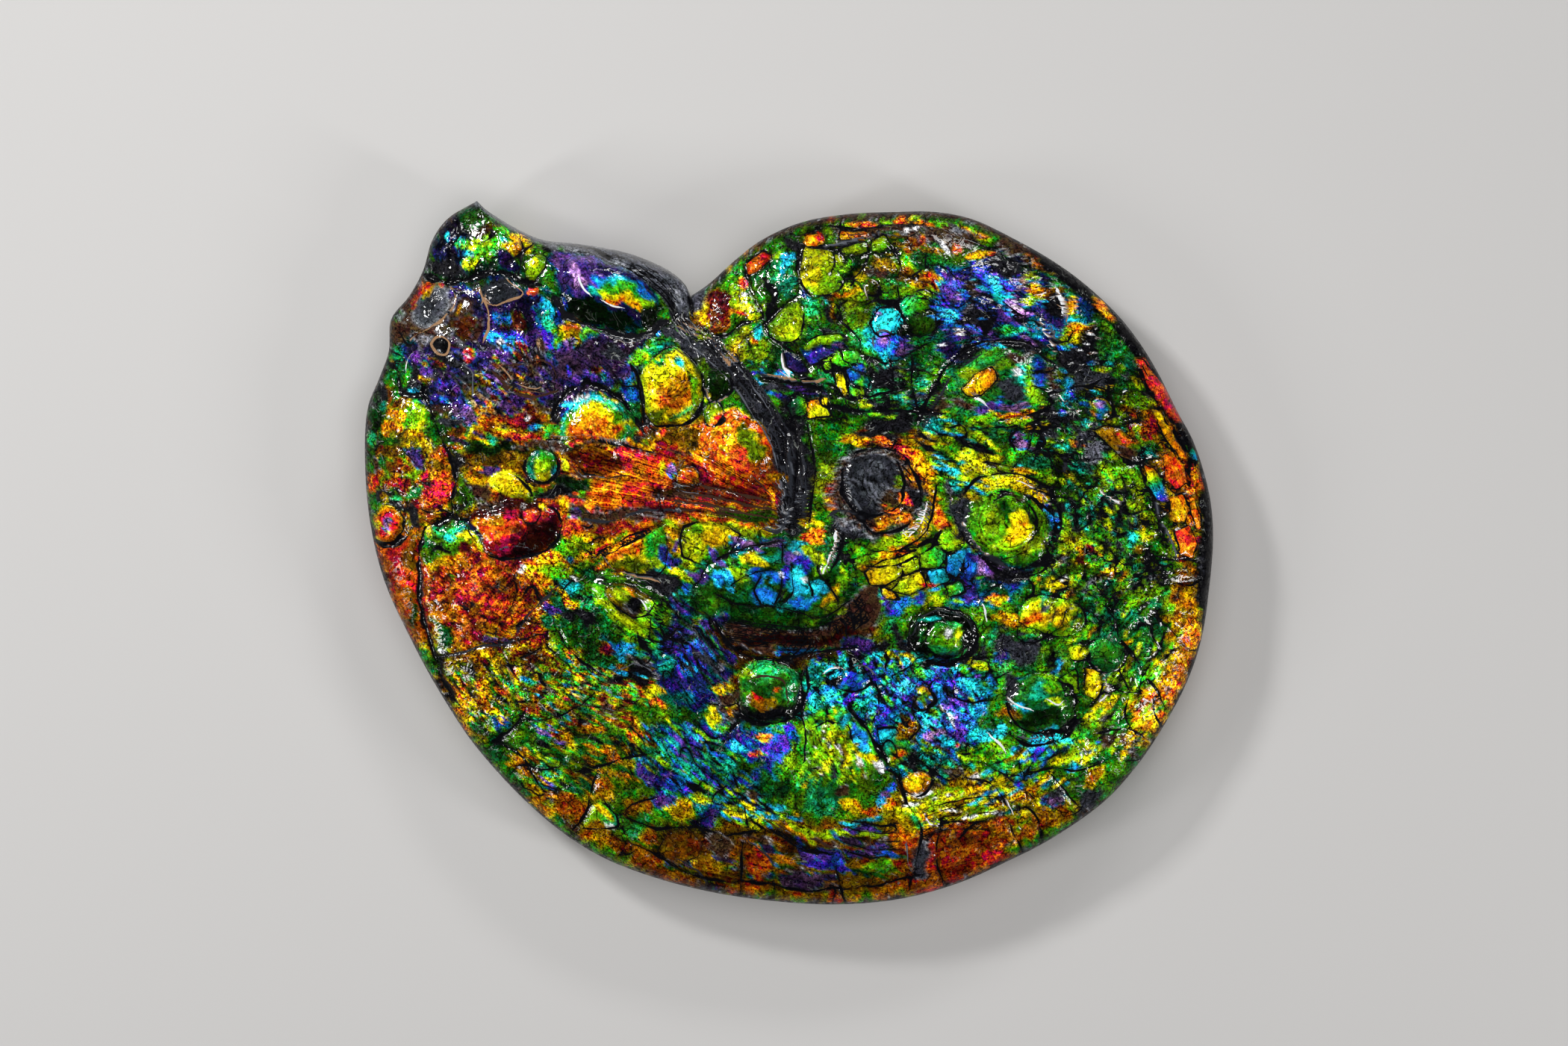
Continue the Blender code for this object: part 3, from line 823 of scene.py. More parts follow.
def mottled_field(skin):
    """The blue and violet mottled field, with the orange one below it."""
    skin.zone(600, 495, 24, 18, "coal", 0.4)
    skin.boss(627, 507, 9, 24, -8, 1.0, "slate", "coal", 0.6)
    skin.line([(620, 488), (632, 496), (633, 528)], 1, -0.2, "grey")
    skin.zones(
        (598, 528, 26, 26, "indigo", 0.5), (590, 506, 8, 5, "azure", 0.7),
        (606, 535, 9, 5, "azure", 0.8, -30), (592, 548, 10, 6, "umber", 0.4),
        (602, 566, 18, 8, "slate", 0.65), (590, 580, 8, 6, "green", 0.4), (610, 580, 8, 10, "scarlet", 0.2),
        (640, 482, 10, 14, "indigo", 0.6, 10), (643, 500, 9, 8, "gold", 0.85),
    )
    skin.mark(641, 508, 5, 4, "indigo", 0.3)
    skin.zones(
        (652, 518, 14, 7, "amber", 0.7, -45), (661, 508, 6, 18, "violet", 0.9, 32),
        (640, 532, 18, 14, "amber", 0.3), (650, 548, 30, 16, "tan", 0.4), (648, 548, 22, 10, "orange", 0.6),
        (651, 543, 10, 5, "scarlet", 0.9, -30), (620, 552, 16, 18, "mauve", 0.5),
        (628, 580, 9, 11, "emerald", 0.7), (631, 579, 3, 12, "yellow", 0.9, -15),
        (655, 566, 20, 10, "scarlet", 0.7, -15), (692, 556, 22, 15, "crimson", 0.35),
    )
    skin.mark(706, 560, 3, 3, "white", 0.9)
    skin.zones(
        (668, 538, 8, 6, "azure", 0.75, -50), (700, 528, 34, 6, "scarlet", 0.5, -6),
        (700, 498, 36, 20, "umber", 0.4), (668, 486, 7, 12, "orange", 0.6, 20),
        (693, 501, 8, 6, "orange", 0.65),
    )
    skin.mark(694, 513, 5, 3, "gold", 1.0)
    skin.zones((688, 476, 10, 12, "violet", 0.5), (738, 482, 10, 8, "emerald", 0.5))
    skin.line([(690, 488), (712, 483), (738, 490), (745, 505), (728, 518)], 1.2, -0.4, "umber")
    skin.line([(662, 500), (684, 524), (712, 532), (744, 522)], 1.8, 0.5, "umber")
    skin.line([(672, 492), (690, 512), (716, 520), (738, 512)], 0.9, -0.3, "tan")
    skin.zones((690, 545, 16, 10, "violet", 0.5, 30), (687, 582, 18, 6, "red", 0.9, -10))
    skin.marks((682, 574, 18, 2.5, "yellow", 0.9), (720, 571, 9, 3, "teal", 0.7))
    skin.zones(
        (733, 578, 14, 5, "green", 0.8, 5), (690, 562, 9, 6, "crimson", 0.6),
        (660, 586, 8, 6, "emerald", 0.8), (680, 600, 60, 7, "green", 0.15), (650, 612, 30, 10, "amber", 0.3),
        (655, 627, 12, 7, "mauve", 0.5),
    )


def arches(skin):
    """The arched boss, the golden boss and the dark violet field above them."""
    skin.zones(
        (795, 485, 55, 26, "mauve", 0.35), (820, 472, 22, 10, "slate", 0.5),
        (788, 504, 26, 8, "indigo", 0.7, 5),
    )
    skin.mark(762, 496, 3, 9, "azure", 0.9)
    skin.zones(
        (797, 494, 9, 7, "crimson", 0.3), (808, 514, 24, 7, "indigo", 0.6, -8), (832, 516, 7, 8, "leaf", 0.5),
        (841, 498, 9, 16, "mauve", 0.5), (806, 505, 5, 6, "teal", 0.6),
    )
    skin.mark(754, 512, 5, 8, "indigo", 0.4, 20)
    skin.zones((752, 545, 9, 14, "indigo", 0.25), (744, 562, 10, 10, "coal", 0.5))
    skin.line(
        [(738, 560), (748, 538), (762, 521), (786, 514), (815, 522), (836, 537), (848, 560), (866, 582)],
        4, 2.2,
    )
    skin.boss(796, 576, 48, 48, 0, 4.0, "orange", "cyan", 0.95)
    skin.zones(
        (795, 560, 34, 9, "amber", 0.95), (795, 573, 38, 9, "orange", 0.95),
        (796, 584, 40, 5, "scarlet", 0.75), (790, 548, 28, 5, "yellow", 0.8), (782, 535, 26, 6, "cyan", 1.2),
    )
    # painted highlight: a white streak on the boss's top
    skin.mark(778, 532, 14, 3, "white", 0.7, 8)
    skin.zones(
        (762, 552, 5, 14, "leaf", 0.8), (826, 560, 6, 14, "leaf", 0.7, -20),
        (795, 600, 60, 10, "umber", 0.5, -5),
    )
    skin.line([(738, 584), (770, 582), (800, 584), (832, 592)], 1.0, -0.3, "tan")
    skin.line([(735, 590), (770, 587), (805, 590), (840, 598), (870, 604)], 2, 0.8)
    skin.zones(
        (845, 552, 12, 20, "emerald", 0.5), (851, 530, 5, 10, "azure", 0.7, -20),
        (833, 546, 5, 7, "teal", 0.8, -30), (838, 573, 11, 4, "yellow", 0.8, -45),
        (852, 586, 14, 7, "green", 0.7, -35), (862, 473, 22, 15, "leaf", 0.9, 25),
        (882, 464, 12, 5, "emerald", 0.9, -10),
    )
    skin.mark(867, 478, 5, 4, "yellow", 1.0)
    skin.zone(848, 512, 5, 18, "azure", 0.5, -15)
    skin.line([(846, 488), (856, 510), (860, 535), (864, 565), (880, 580)], 2, 1.2)
    skin.boss(899, 522, 42, 53, -6, 4.6, "amber", "lime", 0.95, 2.0)
    skin.zones(
        (890, 497, 18, 17, "yellow", 1.1), (910, 522, 22, 22, "amber", 0.85),
        (900, 535, 16, 18, "orange", 0.65), (927, 520, 6, 20, "leaf", 0.7),
    )
    skin.mark(912, 487, 8, 5, "cyan", 1.0, -30)
    skin.zones((896, 478, 14, 4, "emerald", 0.7), (884, 560, 18, 10, "lime", 0.4))
    skin.mark(915, 553, 22, 2.5, "emerald", 1.0, 36)
    skin.zones(
        (872, 584, 20, 6, "coal", 0.4, 10), (875, 587, 9, 4, "green", 0.8, 10),
        (930, 468, 44, 13, "slate", 0.4, -32), (958, 492, 20, 20, "coal", 0.4),
    )
    skin.mark(917, 565, 11, 6, "gold", 0.95, 10)
    skin.boss(955, 553, 13, 17, 10, 1.6, "lime", "leaf", 0.7, 2.0)
    skin.boss(960, 515, 20, 20, 0, 2.0, "green", "leaf", 0.2, 1.5)
    skin.line([(944, 522), (950, 533), (962, 538), (974, 532)], 1.6, -0.3, "tan")
    skin.mark(947, 531, 3, 6, "yellow", 0.9, -50)
    skin.zone(947, 500, 6, 12, "leaf", 0.5)
    skin.mark(975, 551, 7, 3, "emerald", 0.9, -10)
    skin.zones(
        (912, 588, 42, 14, "amber", 0.25), (892, 590, 10, 8, "scarlet", 0.8),
        (870, 596, 22, 3, "amber", 0.8, -14),
    )
    skin.mark(713, 572, 7, 4, "azure", 0.8)
    skin.zones((728, 587, 8, 4, "emerald", 0.8, 20), (715, 598, 26, 6, "umber", 0.3))


def ember_fan(skin):
    """The fan of red and orange ridges, and the plates below it."""
    skin.zones(
        (792, 607, 36, 12, "orange", 0.45), (836, 606, 26, 6, "red", 0.9, -8), (850, 620, 14, 9, "red", 0.8),
        (848, 634, 22, 8, "orange", 0.6), (798, 622, 38, 13, "scarlet", 0.3),
        (880, 628, 26, 14, "scarlet", 0.8),
    )
    skin.mark(757, 623, 5, 10, "yellow", 0.9)
    skin.line([(756, 602), (765, 622), (779, 638), (805, 641), (838, 637)], 1.0, -0.4, "umber")
    skin.line([(760, 600), (772, 620), (784, 633), (806, 637)], 1.2, 0.5)
    skin.zones(
        (768, 650, 28, 13, "green", 0.15), (740, 664, 22, 9, "black", 0.3), (778, 666, 8, 5, "leaf", 0.8, 20),
    )
    skin.plate(
        [(778, 680), (794, 656), (820, 648), (850, 644), (868, 650), (874, 668), (862, 682)],
        "orange", "scarlet", 0.85, 0,
    )
    skin.zones(
        (853, 651, 11, 8, "red", 1.0), (820, 688, 66, 8, "umber", 0.5), (815, 706, 48, 10, "red", 0.5),
        (872, 676, 18, 8, "crimson", 0.7),
    )
    skin.line([(784, 694), (818, 697), (848, 689), (878, 683), (910, 686)], 1.5, 0.5, "slate")
    skin.line([(803, 741), (830, 724), (858, 711), (886, 700)], 1.8, 0.9)
    skin.zones(
        (840, 722, 34, 5, "orange", 0.7, 28), (764, 704, 13, 10, "red", 0.65),
        (770, 694, 10, 7, "mauve", 0.5), (752, 716, 8, 8, "violet", 0.5), (747, 687, 8, 12, "amber", 0.75),
        (735, 742, 14, 17, "orange", 0.85), (757, 735, 18, 13, "leaf", 0.65),
    )
    skin.mark(763, 749, 5, 4, "azure", 0.7)
    skin.zones(
        (776, 745, 8, 6, "amber", 0.7), (785, 732, 18, 6, "lime", 0.6, -25),
        (740, 765, 22, 9, "lime", 0.7, 10), (732, 779, 14, 6, "orange", 0.6),
    )
    skin.plate(
        [(811, 745), (840, 728), (868, 713), (888, 702), (896, 735), (892, 760), (880, 774), (850, 768),
         (824, 760)], "amber", "green", 0.8,
    )
    skin.zones(
        (842, 733, 22, 9, "orange", 0.85, 20), (875, 728, 16, 18, "green", 0.85),
        (852, 755, 24, 8, "lime", 0.4, -15), (894, 748, 12, 12, "indigo", 0.6), (884, 765, 6, 5, "teal", 0.7),
    )
    skin.line([(811, 746), (824, 761), (850, 770), (880, 779)], 1.4, -0.3, "tan")
    skin.plate(
        [(914, 706), (935, 700), (975, 705), (992, 716), (976, 745), (940, 758), (915, 745), (910, 722)],
        "lime", "gold", 0.85,
    )
    skin.zones((958, 728, 26, 14, "gold", 0.85), (930, 712, 12, 8, "leaf", 0.7))
    skin.mark(906, 728, 3, 10, "violet", 0.9, -20)
    skin.zones(
        (904, 754, 10, 10, "indigo", 0.4), (922, 672, 34, 10, "red", 0.85, -3),
        (940, 650, 40, 12, "crimson", 0.4, -5),
    )
    skin.boss(921, 640, 15, 15, 0, 1.2, "red", "gold", 0.85, 1.2)
    skin.zone(898, 628, 8, 6, "mauve", 1.2)
    skin.mark(886, 626, 3, 11, "yellow", 1.0)
    skin.zones((898, 653, 26, 6, "amber", 0.2), (905, 664, 20, 5, "umber", 0.3))
    skin.line([(884, 645), (885, 670), (884, 690)], 1.0, 0.5)
    skin.zones(
        (960, 690, 50, 6, "orange", 0.6, -8), (968, 676, 18, 4, "yellow", 0.7, -5),
        (1000, 660, 50, 12, "crimson", 0.45, -15), (960, 625, 30, 14, "red", 0.6),
    )
    skin.boss(985, 602, 46, 54, 16, 4.5, "orange", "scarlet", 0.9)
    skin.zone(985, 580, 30, 20, "orange", 1.0)
    skin.mark(978, 588, 6, 6, "amber", 1.1)
    skin.zones(
        (990, 612, 12, 14, "red", 0.9), (1003, 590, 14, 24, "lime", 0.5, 15),
        (942, 610, 10, 10, "orange", 0.95), (890, 782, 28, 12, "coal", 0.4, -20),
        (926, 786, 8, 10, "blue", 0.7), (914, 771, 15, 6, "yellow", 0.85, -22),
    )
    for height in (668, 680, 692, 702):
        skin.line(
            [(905, height - 20), (960, height - 15), (1010, height - 2), (1055, height + 8)],
            1.5, 0.7, "umber",
        )
    for run in (
        [(1010, 640), (1035, 665), (1058, 690)], [(1018, 628), (1042, 655), (1060, 682)],
    ):
        skin.line(run, 1.5, -0.5, "umber")


def red_boss(skin):
    """The red boss with its dark rim, and the yellow and green beads above it."""
    skin.zones(
        (622, 666, 16, 22, "leaf", 0.4), (640, 655, 18, 12, "umber", 0.4), (656, 664, 12, 10, "scarlet", 0.6),
    )
    skin.boss(683, 649, 28, 18, -12, 1.8, "gold", "lime", 1.0)
    skin.zone(640, 645, 20, 6, "amber", 0.85, -5)
    skin.mark(642, 628, 6, 3, "orange", 0.9)
    skin.line([(655, 672), (664, 668), (668, 676), (660, 682), (652, 677)], 1, 0.4)
    skin.boss(728, 624, 22, 21, 0, 1.8, "lime", "emerald", 0.85, 2.0)
    skin.zones((732, 634, 12, 7, "yellow", 0.7), (716, 622, 5, 10, "teal", 0.6))
    skin.mark(744, 632, 3, 10, "cyan", 0.8, -25)
    skin.line([(690, 635), (705, 650), (712, 668), (705, 680)], 2, 1.0)
    skin.zone(712, 660, 9, 12, "leaf", 0.5)
    skin.boss(690, 708, 62, 37, 0, 2.6, "crimson", "crimson", 0.2, 2.6)
    skin.zones((655, 674, 18, 9, "umber", 0.5), (728, 666, 16, 8, "coal", 0.4))
    skin.plate(
        [(629, 700), (656, 690), (690, 688), (703, 697), (710, 706), (702, 722), (686, 734), (662, 737),
         (642, 724)], "orange", "red", 1.1, 0.6,
    )
    skin.zones(
        (688, 703, 16, 16, "red", 0.95), (662, 700, 12, 8, "amber", 0.8), (672, 728, 24, 7, "crimson", 0.7),
        (700, 712, 10, 10, "crimson", 0.4),
    )
    skin.boss(713, 690, 11, 10, 10, 0.8, "red", "crimson", 1.1, 1.0)
    skin.zone(732, 686, 10, 9, "crimson", 0.6)
    skin.mark(726, 679, 5, 3, "gold", 0.9, -20)
    skin.line([(650, 740), (678, 733), (705, 733)], 1.2, -0.4, "grey")
    skin.zone(632, 715, 5, 22, "indigo", 0.25, 35)


def scarlet_field(skin):
    """The speckled scarlet field inside the long groove."""
    skin.boss(520, 703, 20, 25, -10, 2.5, "crimson", "gold", 0.85, 2.0)
    skin.zones(
        (524, 706, 8, 7, "mauve", 0.9), (507, 712, 4, 13, "yellow", 0.9), (555, 695, 9, 26, "coal", 0.4),
        (521, 672, 6, 7, "gold", 0.8),
    )
    skin.line([(503, 725), (518, 734), (540, 723), (549, 710)], 3, 1.5)
    skin.plate(
        [(508, 737), (532, 729), (552, 715), (560, 742), (561, 790), (565, 820), (572, 858), (562, 862),
         (544, 838), (525, 800), (512, 765)], "scarlet", "orange", 0.5, 0,
    )
    skin.zones(
        (530, 745, 9, 20, "red", 0.6), (546, 766, 9, 9, "red", 1.0), (550, 740, 8, 20, "amber", 0.35),
        (549, 786, 12, 5, "scarlet", 1.0, -25), (558, 795, 4, 5, "red", 0.8),
        (548, 803, 12, 8, "orange", 0.45), (554, 826, 8, 14, "green", 0.25, 10),
    )
    skin.mark(513, 752, 3, 22, "orange", 0.8, -12)
    skin.zones(
        (545, 850, 8, 22, "scarlet", 0.3, 35), (578, 730, 8, 22, "green", 0.5),
        (576, 710, 9, 4, "yellow", 1.0, -20), (602, 704, 18, 5, "emerald", 0.85),
        (612, 716, 13, 7, "teal", 0.8, -15), (628, 726, 22, 5, "yellow", 0.9, -28),
        (600, 740, 26, 18, "leaf", 0.5), (590, 755, 16, 8, "amber", 0.6), (617, 745, 8, 8, "crimson", 0.3),
        (610, 752, 12, 6, "orange", 0.7), (604, 771, 6, 5, "green", 0.5), (590, 776, 14, 9, "crimson", 0.25),
        (640, 760, 30, 9, "orange", 0.8), (625, 786, 18, 10, "red", 0.85), (650, 770, 14, 8, "scarlet", 0.9),
        (665, 782, 15, 8, "coal", 0.3, 10), (645, 792, 12, 8, "red", 0.9),
        (682, 802, 30, 13, "scarlet", 0.7, 10), (690, 776, 26, 7, "orange", 0.8),
        # the white zone here is a painted highlight
        (700, 762, 6, 5, "white", 0.5), (712, 764, 8, 10, "yellow", 1.0),
        (722, 752, 14, 8, "orange", 0.9, 25), (628, 806, 13, 8, "coal", 0.3),
        (600, 822, 16, 20, "orange", 0.7, -25), (640, 832, 18, 14, "red", 0.65),
        (622, 830, 14, 10, "scarlet", 0.8), (700, 826, 20, 12, "amber", 0.5, 35),
        (662, 848, 30, 11, "amber", 0.6, 5), (588, 850, 6, 22, "green", 0.35, 15),
        (660, 860, 22, 5, "mauve", 0.5, 10),
    )
    skin.line(
        [(588, 882), (620, 873), (650, 866), (680, 862), (695, 841), (711, 820), (731, 799), (747, 784)],
        1.8, 1.2, "slate",
    )
    for x, y in (
        (599, 805), (612, 838), (660, 815), (650, 825), (676, 832), (596, 838), (706, 805), (640, 745),
    ):
        skin.zone(x, y, 5, 4, "crimson", 0.2)


def pale_ridges(skin):
    """The seam with pale ridges right of the fan, and the knot of pale glass."""
    skin.zones(
        (1062, 625, 24, 80, "coal", 0.3, 4), (1045, 640, 12, 10, "amber", 0.6),
        (1000, 690, 46, 9, "leaf", 0.3, -5), (1040, 655, 6, 26, "orange", 0.7),
        (1103, 640, 14, 30, "lime", 0.65), (1098, 676, 14, 16, "leaf", 0.5),
        (1105, 612, 10, 14, "leaf", 0.35), (1119, 664, 9, 21, "scarlet", 1.0),
        (1135, 704, 24, 18, "coal", 0.4), (1085, 704, 16, 8, "gold", 1.0, -20),
        (1092, 722, 14, 10, "scarlet", 1.0, 20), (1085, 740, 16, 9, "leaf", 0.7, -15),
    )
    for run in (
        [(1038, 560), (1052, 590), (1046, 630), (1054, 668), (1046, 700)],
        [(1060, 560), (1070, 610), (1064, 650), (1068, 700)],
        [(1082, 570), (1090, 620), (1088, 670), (1082, 700)], [(1130, 714), (1126, 740), (1114, 764)],
    ):
        skin.line(run, 2.0, 1.4)
    for run in (
        [(1046, 622), (1052, 650), (1049, 682)], [(1057, 600), (1060, 640), (1057, 684)],
        [(1075, 610), (1078, 640), (1077, 688)], [(1022, 708), (1040, 713), (1048, 703), (1056, 690)],
        [(1112, 690), (1128, 683), (1148, 689), (1154, 705), (1147, 722)],
    ):
        skin.line(run, 2.2, -0.9, "slate")
        skin.line(run, 0.7, -0.2, "white")
    skin.line(
        [(1122, 703), (1128, 694), (1140, 695), (1144, 704), (1136, 711), (1127, 708)], 0.7, -0.3, "grey",
    )
    skin.line([(1122, 714), (1117, 735), (1108, 750), (1103, 766)], 1.8, -0.9, "white")
    skin.line([(940, 679), (1000, 689), (1038, 698)], 1.0, -0.4, "umber")


def middle_dome(skin):
    """The blue and green dome under the fan, with painted white highlights on top and the dark hollow below
    it, its dark band partly its own brown and partly painted shadow.
    """
    skin.boss(1035, 792, 112, 72, -8, 3.2, "green", "green", 0.3)
    # the dark umber band below the dome: partly its own brown, partly painted shadow
    skin.plate(
        [(962, 828), (1010, 842), (1060, 846), (1108, 838), (1140, 806), (1160, 778), (1178, 784),
         (1180, 822), (1160, 854), (1120, 868), (1068, 874), (1020, 876), (984, 860)],
        "umber", "umber", 0.4, 0,
    )
    skin.zones(
        (930, 772, 16, 5, "violet", 0.6, -35), (962, 748, 22, 5, "violet", 0.65, -28),
        (1000, 729, 24, 5, "mauve", 0.8, -18), (1030, 722, 14, 5, "mauve", 0.7, -5),
        (1041, 735, 5, 12, "violet", 0.7, 10), (945, 762, 10, 5, "teal", 0.8, -35),
        (975, 743, 14, 7, "green", 0.6, -25), (1000, 742, 20, 6, "cyan", 0.8, -20),
        (1012, 755, 18, 10, "yellow", 0.95, -30), (992, 766, 13, 7, "lime", 0.9, -30),
        (975, 772, 11, 9, "cyan", 1.0), (959, 777, 9, 9, "azure", 1.0), (1032, 746, 10, 9, "teal", 0.8),
        (1020, 776, 20, 7, "azure", 0.8, -8), (1000, 791, 18, 8, "emerald", 0.5),
        (1030, 796, 18, 10, "azure", 0.95), (1055, 750, 13, 11, "violet", 0.75),
        (1048, 772, 8, 12, "blue", 0.6), (1076, 758, 14, 11, "blue", 0.85),
        (1072, 735, 16, 10, "cyan", 1.0, -15), (1092, 744, 14, 8, "lime", 1.0, -15),
        (1104, 758, 9, 9, "leaf", 0.9), (1074, 782, 18, 14, "cyan", 1.15), (1094, 786, 12, 11, "cyan", 0.9),
        (1078, 804, 18, 9, "azure", 1.0), (1056, 810, 12, 6, "teal", 0.8), (1098, 810, 12, 8, "green", 0.6),
        (1085, 822, 16, 6, "leaf", 0.6), (960, 802, 26, 13, "green", 0.35, 18),
        (985, 818, 30, 9, "emerald", 0.3, 10), (1030, 830, 50, 8, "green", 0.3, 2),
        (1114, 800, 8, 16, "gold", 0.85, -30), (1129, 790, 6, 19, "leaf", 0.85, -20),
        (1139, 774, 6, 15, "lime", 0.85), (1122, 818, 14, 6, "lime", 0.6, 15),
        # dark zones in the band below the dome: partly their own colour, partly painted shadow
        (1120, 846, 36, 7, "scarlet", 0.25, 20), (1050, 858, 56, 6, "crimson", 0.25),
        (1070, 872, 30, 4, "azure", 0.6, -3), (1112, 868, 22, 4, "emerald", 0.6, 5),
        (952, 838, 24, 9, "indigo", 0.4, 30),
    )
    # painted highlights: white marks on the dome's top
    skin.marks(
        (1068, 742, 5, 3, "white", 1.0), (1080, 776, 5, 4, "white", 1.0), (1044, 771, 5, 4, "white", 0.9),
    )
    for run in (
        [(978, 782), (1000, 771), (1026, 766), (1042, 768), (1046, 784), (1040, 806)],
        [(930, 782), (948, 758), (985, 738), (1030, 726), (1046, 726), (1046, 750)],
        [(958, 795), (990, 808), (1040, 812), (1066, 818), (1104, 826), (1140, 806)],
        [(1100, 730), (1096, 760), (1110, 785), (1122, 806)], [(1020, 770), (1012, 790), (1020, 808)],
        [(1060, 760), (1062, 790), (1052, 806)], [(1084, 768), (1088, 796)],
    ):
        skin.line(run, 1.4, 0.8)
    for step in range(6):
        bend = 6 * step
        skin.line(
            [(968 + 2 * step, 826 + bend), (1020, 836 + bend), (1070, 840 + bend), (1120, 832 + 0.8 * bend),
             (1152 + 2 * step, 800 + bend)], 0.9, 0.5,
        )
    skin.line([(958, 832), (978, 864), (1014, 882), (1062, 880), (1100, 872), (1150, 866)], 2.4, 1.6)


def umbilicus(skin):
    """The plugged umbilicus, its shoulder and the plates round it."""
    skin.zone(1178, 656, 62, 58, "umber", 0.4)
    skin.boss(1170, 650, 41, 41, 0, 1.4, "grey", "coal", 0.5, 2.4)
    skin.flecks(1166, 646, 30, 28, 0, 34, 4, ("slate", "grey", "grey", "coal", "slate"), 0.5, 3.4, -50)
    skin.zones(
        (1172, 580, 32, 15, "coal", 0.3), (1145, 590, 16, 9, "amber", 0.6),
        (1186, 590, 13, 7, "scarlet", 1.0, -30), (1201, 601, 15, 8, "red", 1.1, -35),
        (1214, 613, 12, 9, "red", 1.1, -40), (1233, 612, 15, 10, "orange", 1.1, -30),
        (1246, 627, 10, 13, "amber", 0.95), (1227, 632, 12, 9, "scarlet", 0.85, -40),
        (1237, 650, 10, 13, "orange", 0.55, 20), (1206, 642, 5, 12, "leaf", 0.8, -20),
        (1204, 676, 24, 20, "umber", 0.4), (1212, 668, 9, 6, "red", 1.0),
        (1206, 690, 17, 7, "scarlet", 0.9, -30), (1182, 702, 16, 6, "orange", 0.7, 10),
        (1224, 668, 6, 12, "coal", 0.4), (1160, 742, 17, 9, "leaf", 0.85, 5),
        (1182, 745, 19, 7, "amber", 0.85, -5), (1206, 738, 19, 7, "scarlet", 0.9, -20),
        (1229, 722, 15, 7, "orange", 0.95, -40), (1241, 702, 8, 13, "gold", 0.8, -15),
        (1257, 697, 11, 10, "scarlet", 1.1), (1190, 728, 20, 5, "lime", 0.75, -8),
        (1216, 717, 12, 5, "yellow", 0.75, -35), (1252, 668, 9, 20, "amber", 0.6),
        (1258, 655, 9, 14, "leaf", 0.6), (1220, 590, 20, 8, "amber", 0.7, -15),
        (1276, 645, 9, 14, "teal", 0.9), (1150, 770, 12, 12, "green", 0.6),
        (1322, 757, 26, 13, "violet", 0.85, -35), (1302, 790, 15, 12, "indigo", 0.6),
        (1304, 772, 9, 12, "cyan", 1.0), (1328, 790, 16, 10, "emerald", 0.4),
    )
    skin.line(
        [(1128, 640), (1133, 668), (1150, 694), (1175, 714), (1205, 708), (1226, 686), (1233, 655),
         (1222, 625), (1200, 606), (1172, 600), (1146, 607), (1132, 624), (1128, 640)], 2.2, 1.3,
    )
    skin.line([(1254, 650), (1250, 685), (1238, 714), (1212, 734), (1180, 738), (1150, 730)], 1.4, 1.0)
    skin.line([(1266, 706), (1246, 734), (1214, 752), (1180, 758), (1150, 756)], 1.6, 1.0)
    # painted highlights: white arcs on the shoulder
    skin.line([(1240, 678), (1234, 698), (1220, 714)], 1.1, -0.5, "white")
    skin.line([(1232, 684), (1226, 700), (1210, 712)], 0.8, -0.2, "white")
    skin.line([(1136, 636), (1140, 662), (1154, 684)], 1.0, -0.4, "grey")
    for points, start, end in (
        ([(1158, 766), (1176, 750), (1200, 747), (1206, 768), (1188, 786), (1164, 784)], "gold", "lime"),
        ([(1200, 747), (1228, 739), (1234, 762), (1208, 772)], "yellow", "leaf"),
        ([(1206, 773), (1233, 763), (1242, 786), (1216, 798), (1196, 790)], "lime", "gold"),
        ([(1228, 737), (1252, 720), (1268, 742), (1258, 761), (1236, 763)], "lime", "emerald"),
        ([(1252, 718), (1268, 704), (1286, 722), (1278, 742), (1264, 738)], "leaf", "lime"),
        ([(1240, 764), (1264, 761), (1272, 776), (1250, 788)], "azure", "teal"),
        ([(1268, 743), (1292, 736), (1298, 760), (1282, 777), (1268, 768)], "cyan", "azure"),
        ([(1264, 785), (1286, 776), (1294, 790), (1270, 800)], "lime", "teal"),
        ([(1292, 742), (1309, 758), (1302, 786), (1288, 778)], "azure", "blue"),
        ([(1180, 787), (1198, 792), (1205, 804), (1184, 801)], "gold", "orange"),
    ):
        skin.plate(points, start, end, 1.0)
    skin.mark(1246, 784, 14, 3, "red", 1.0)


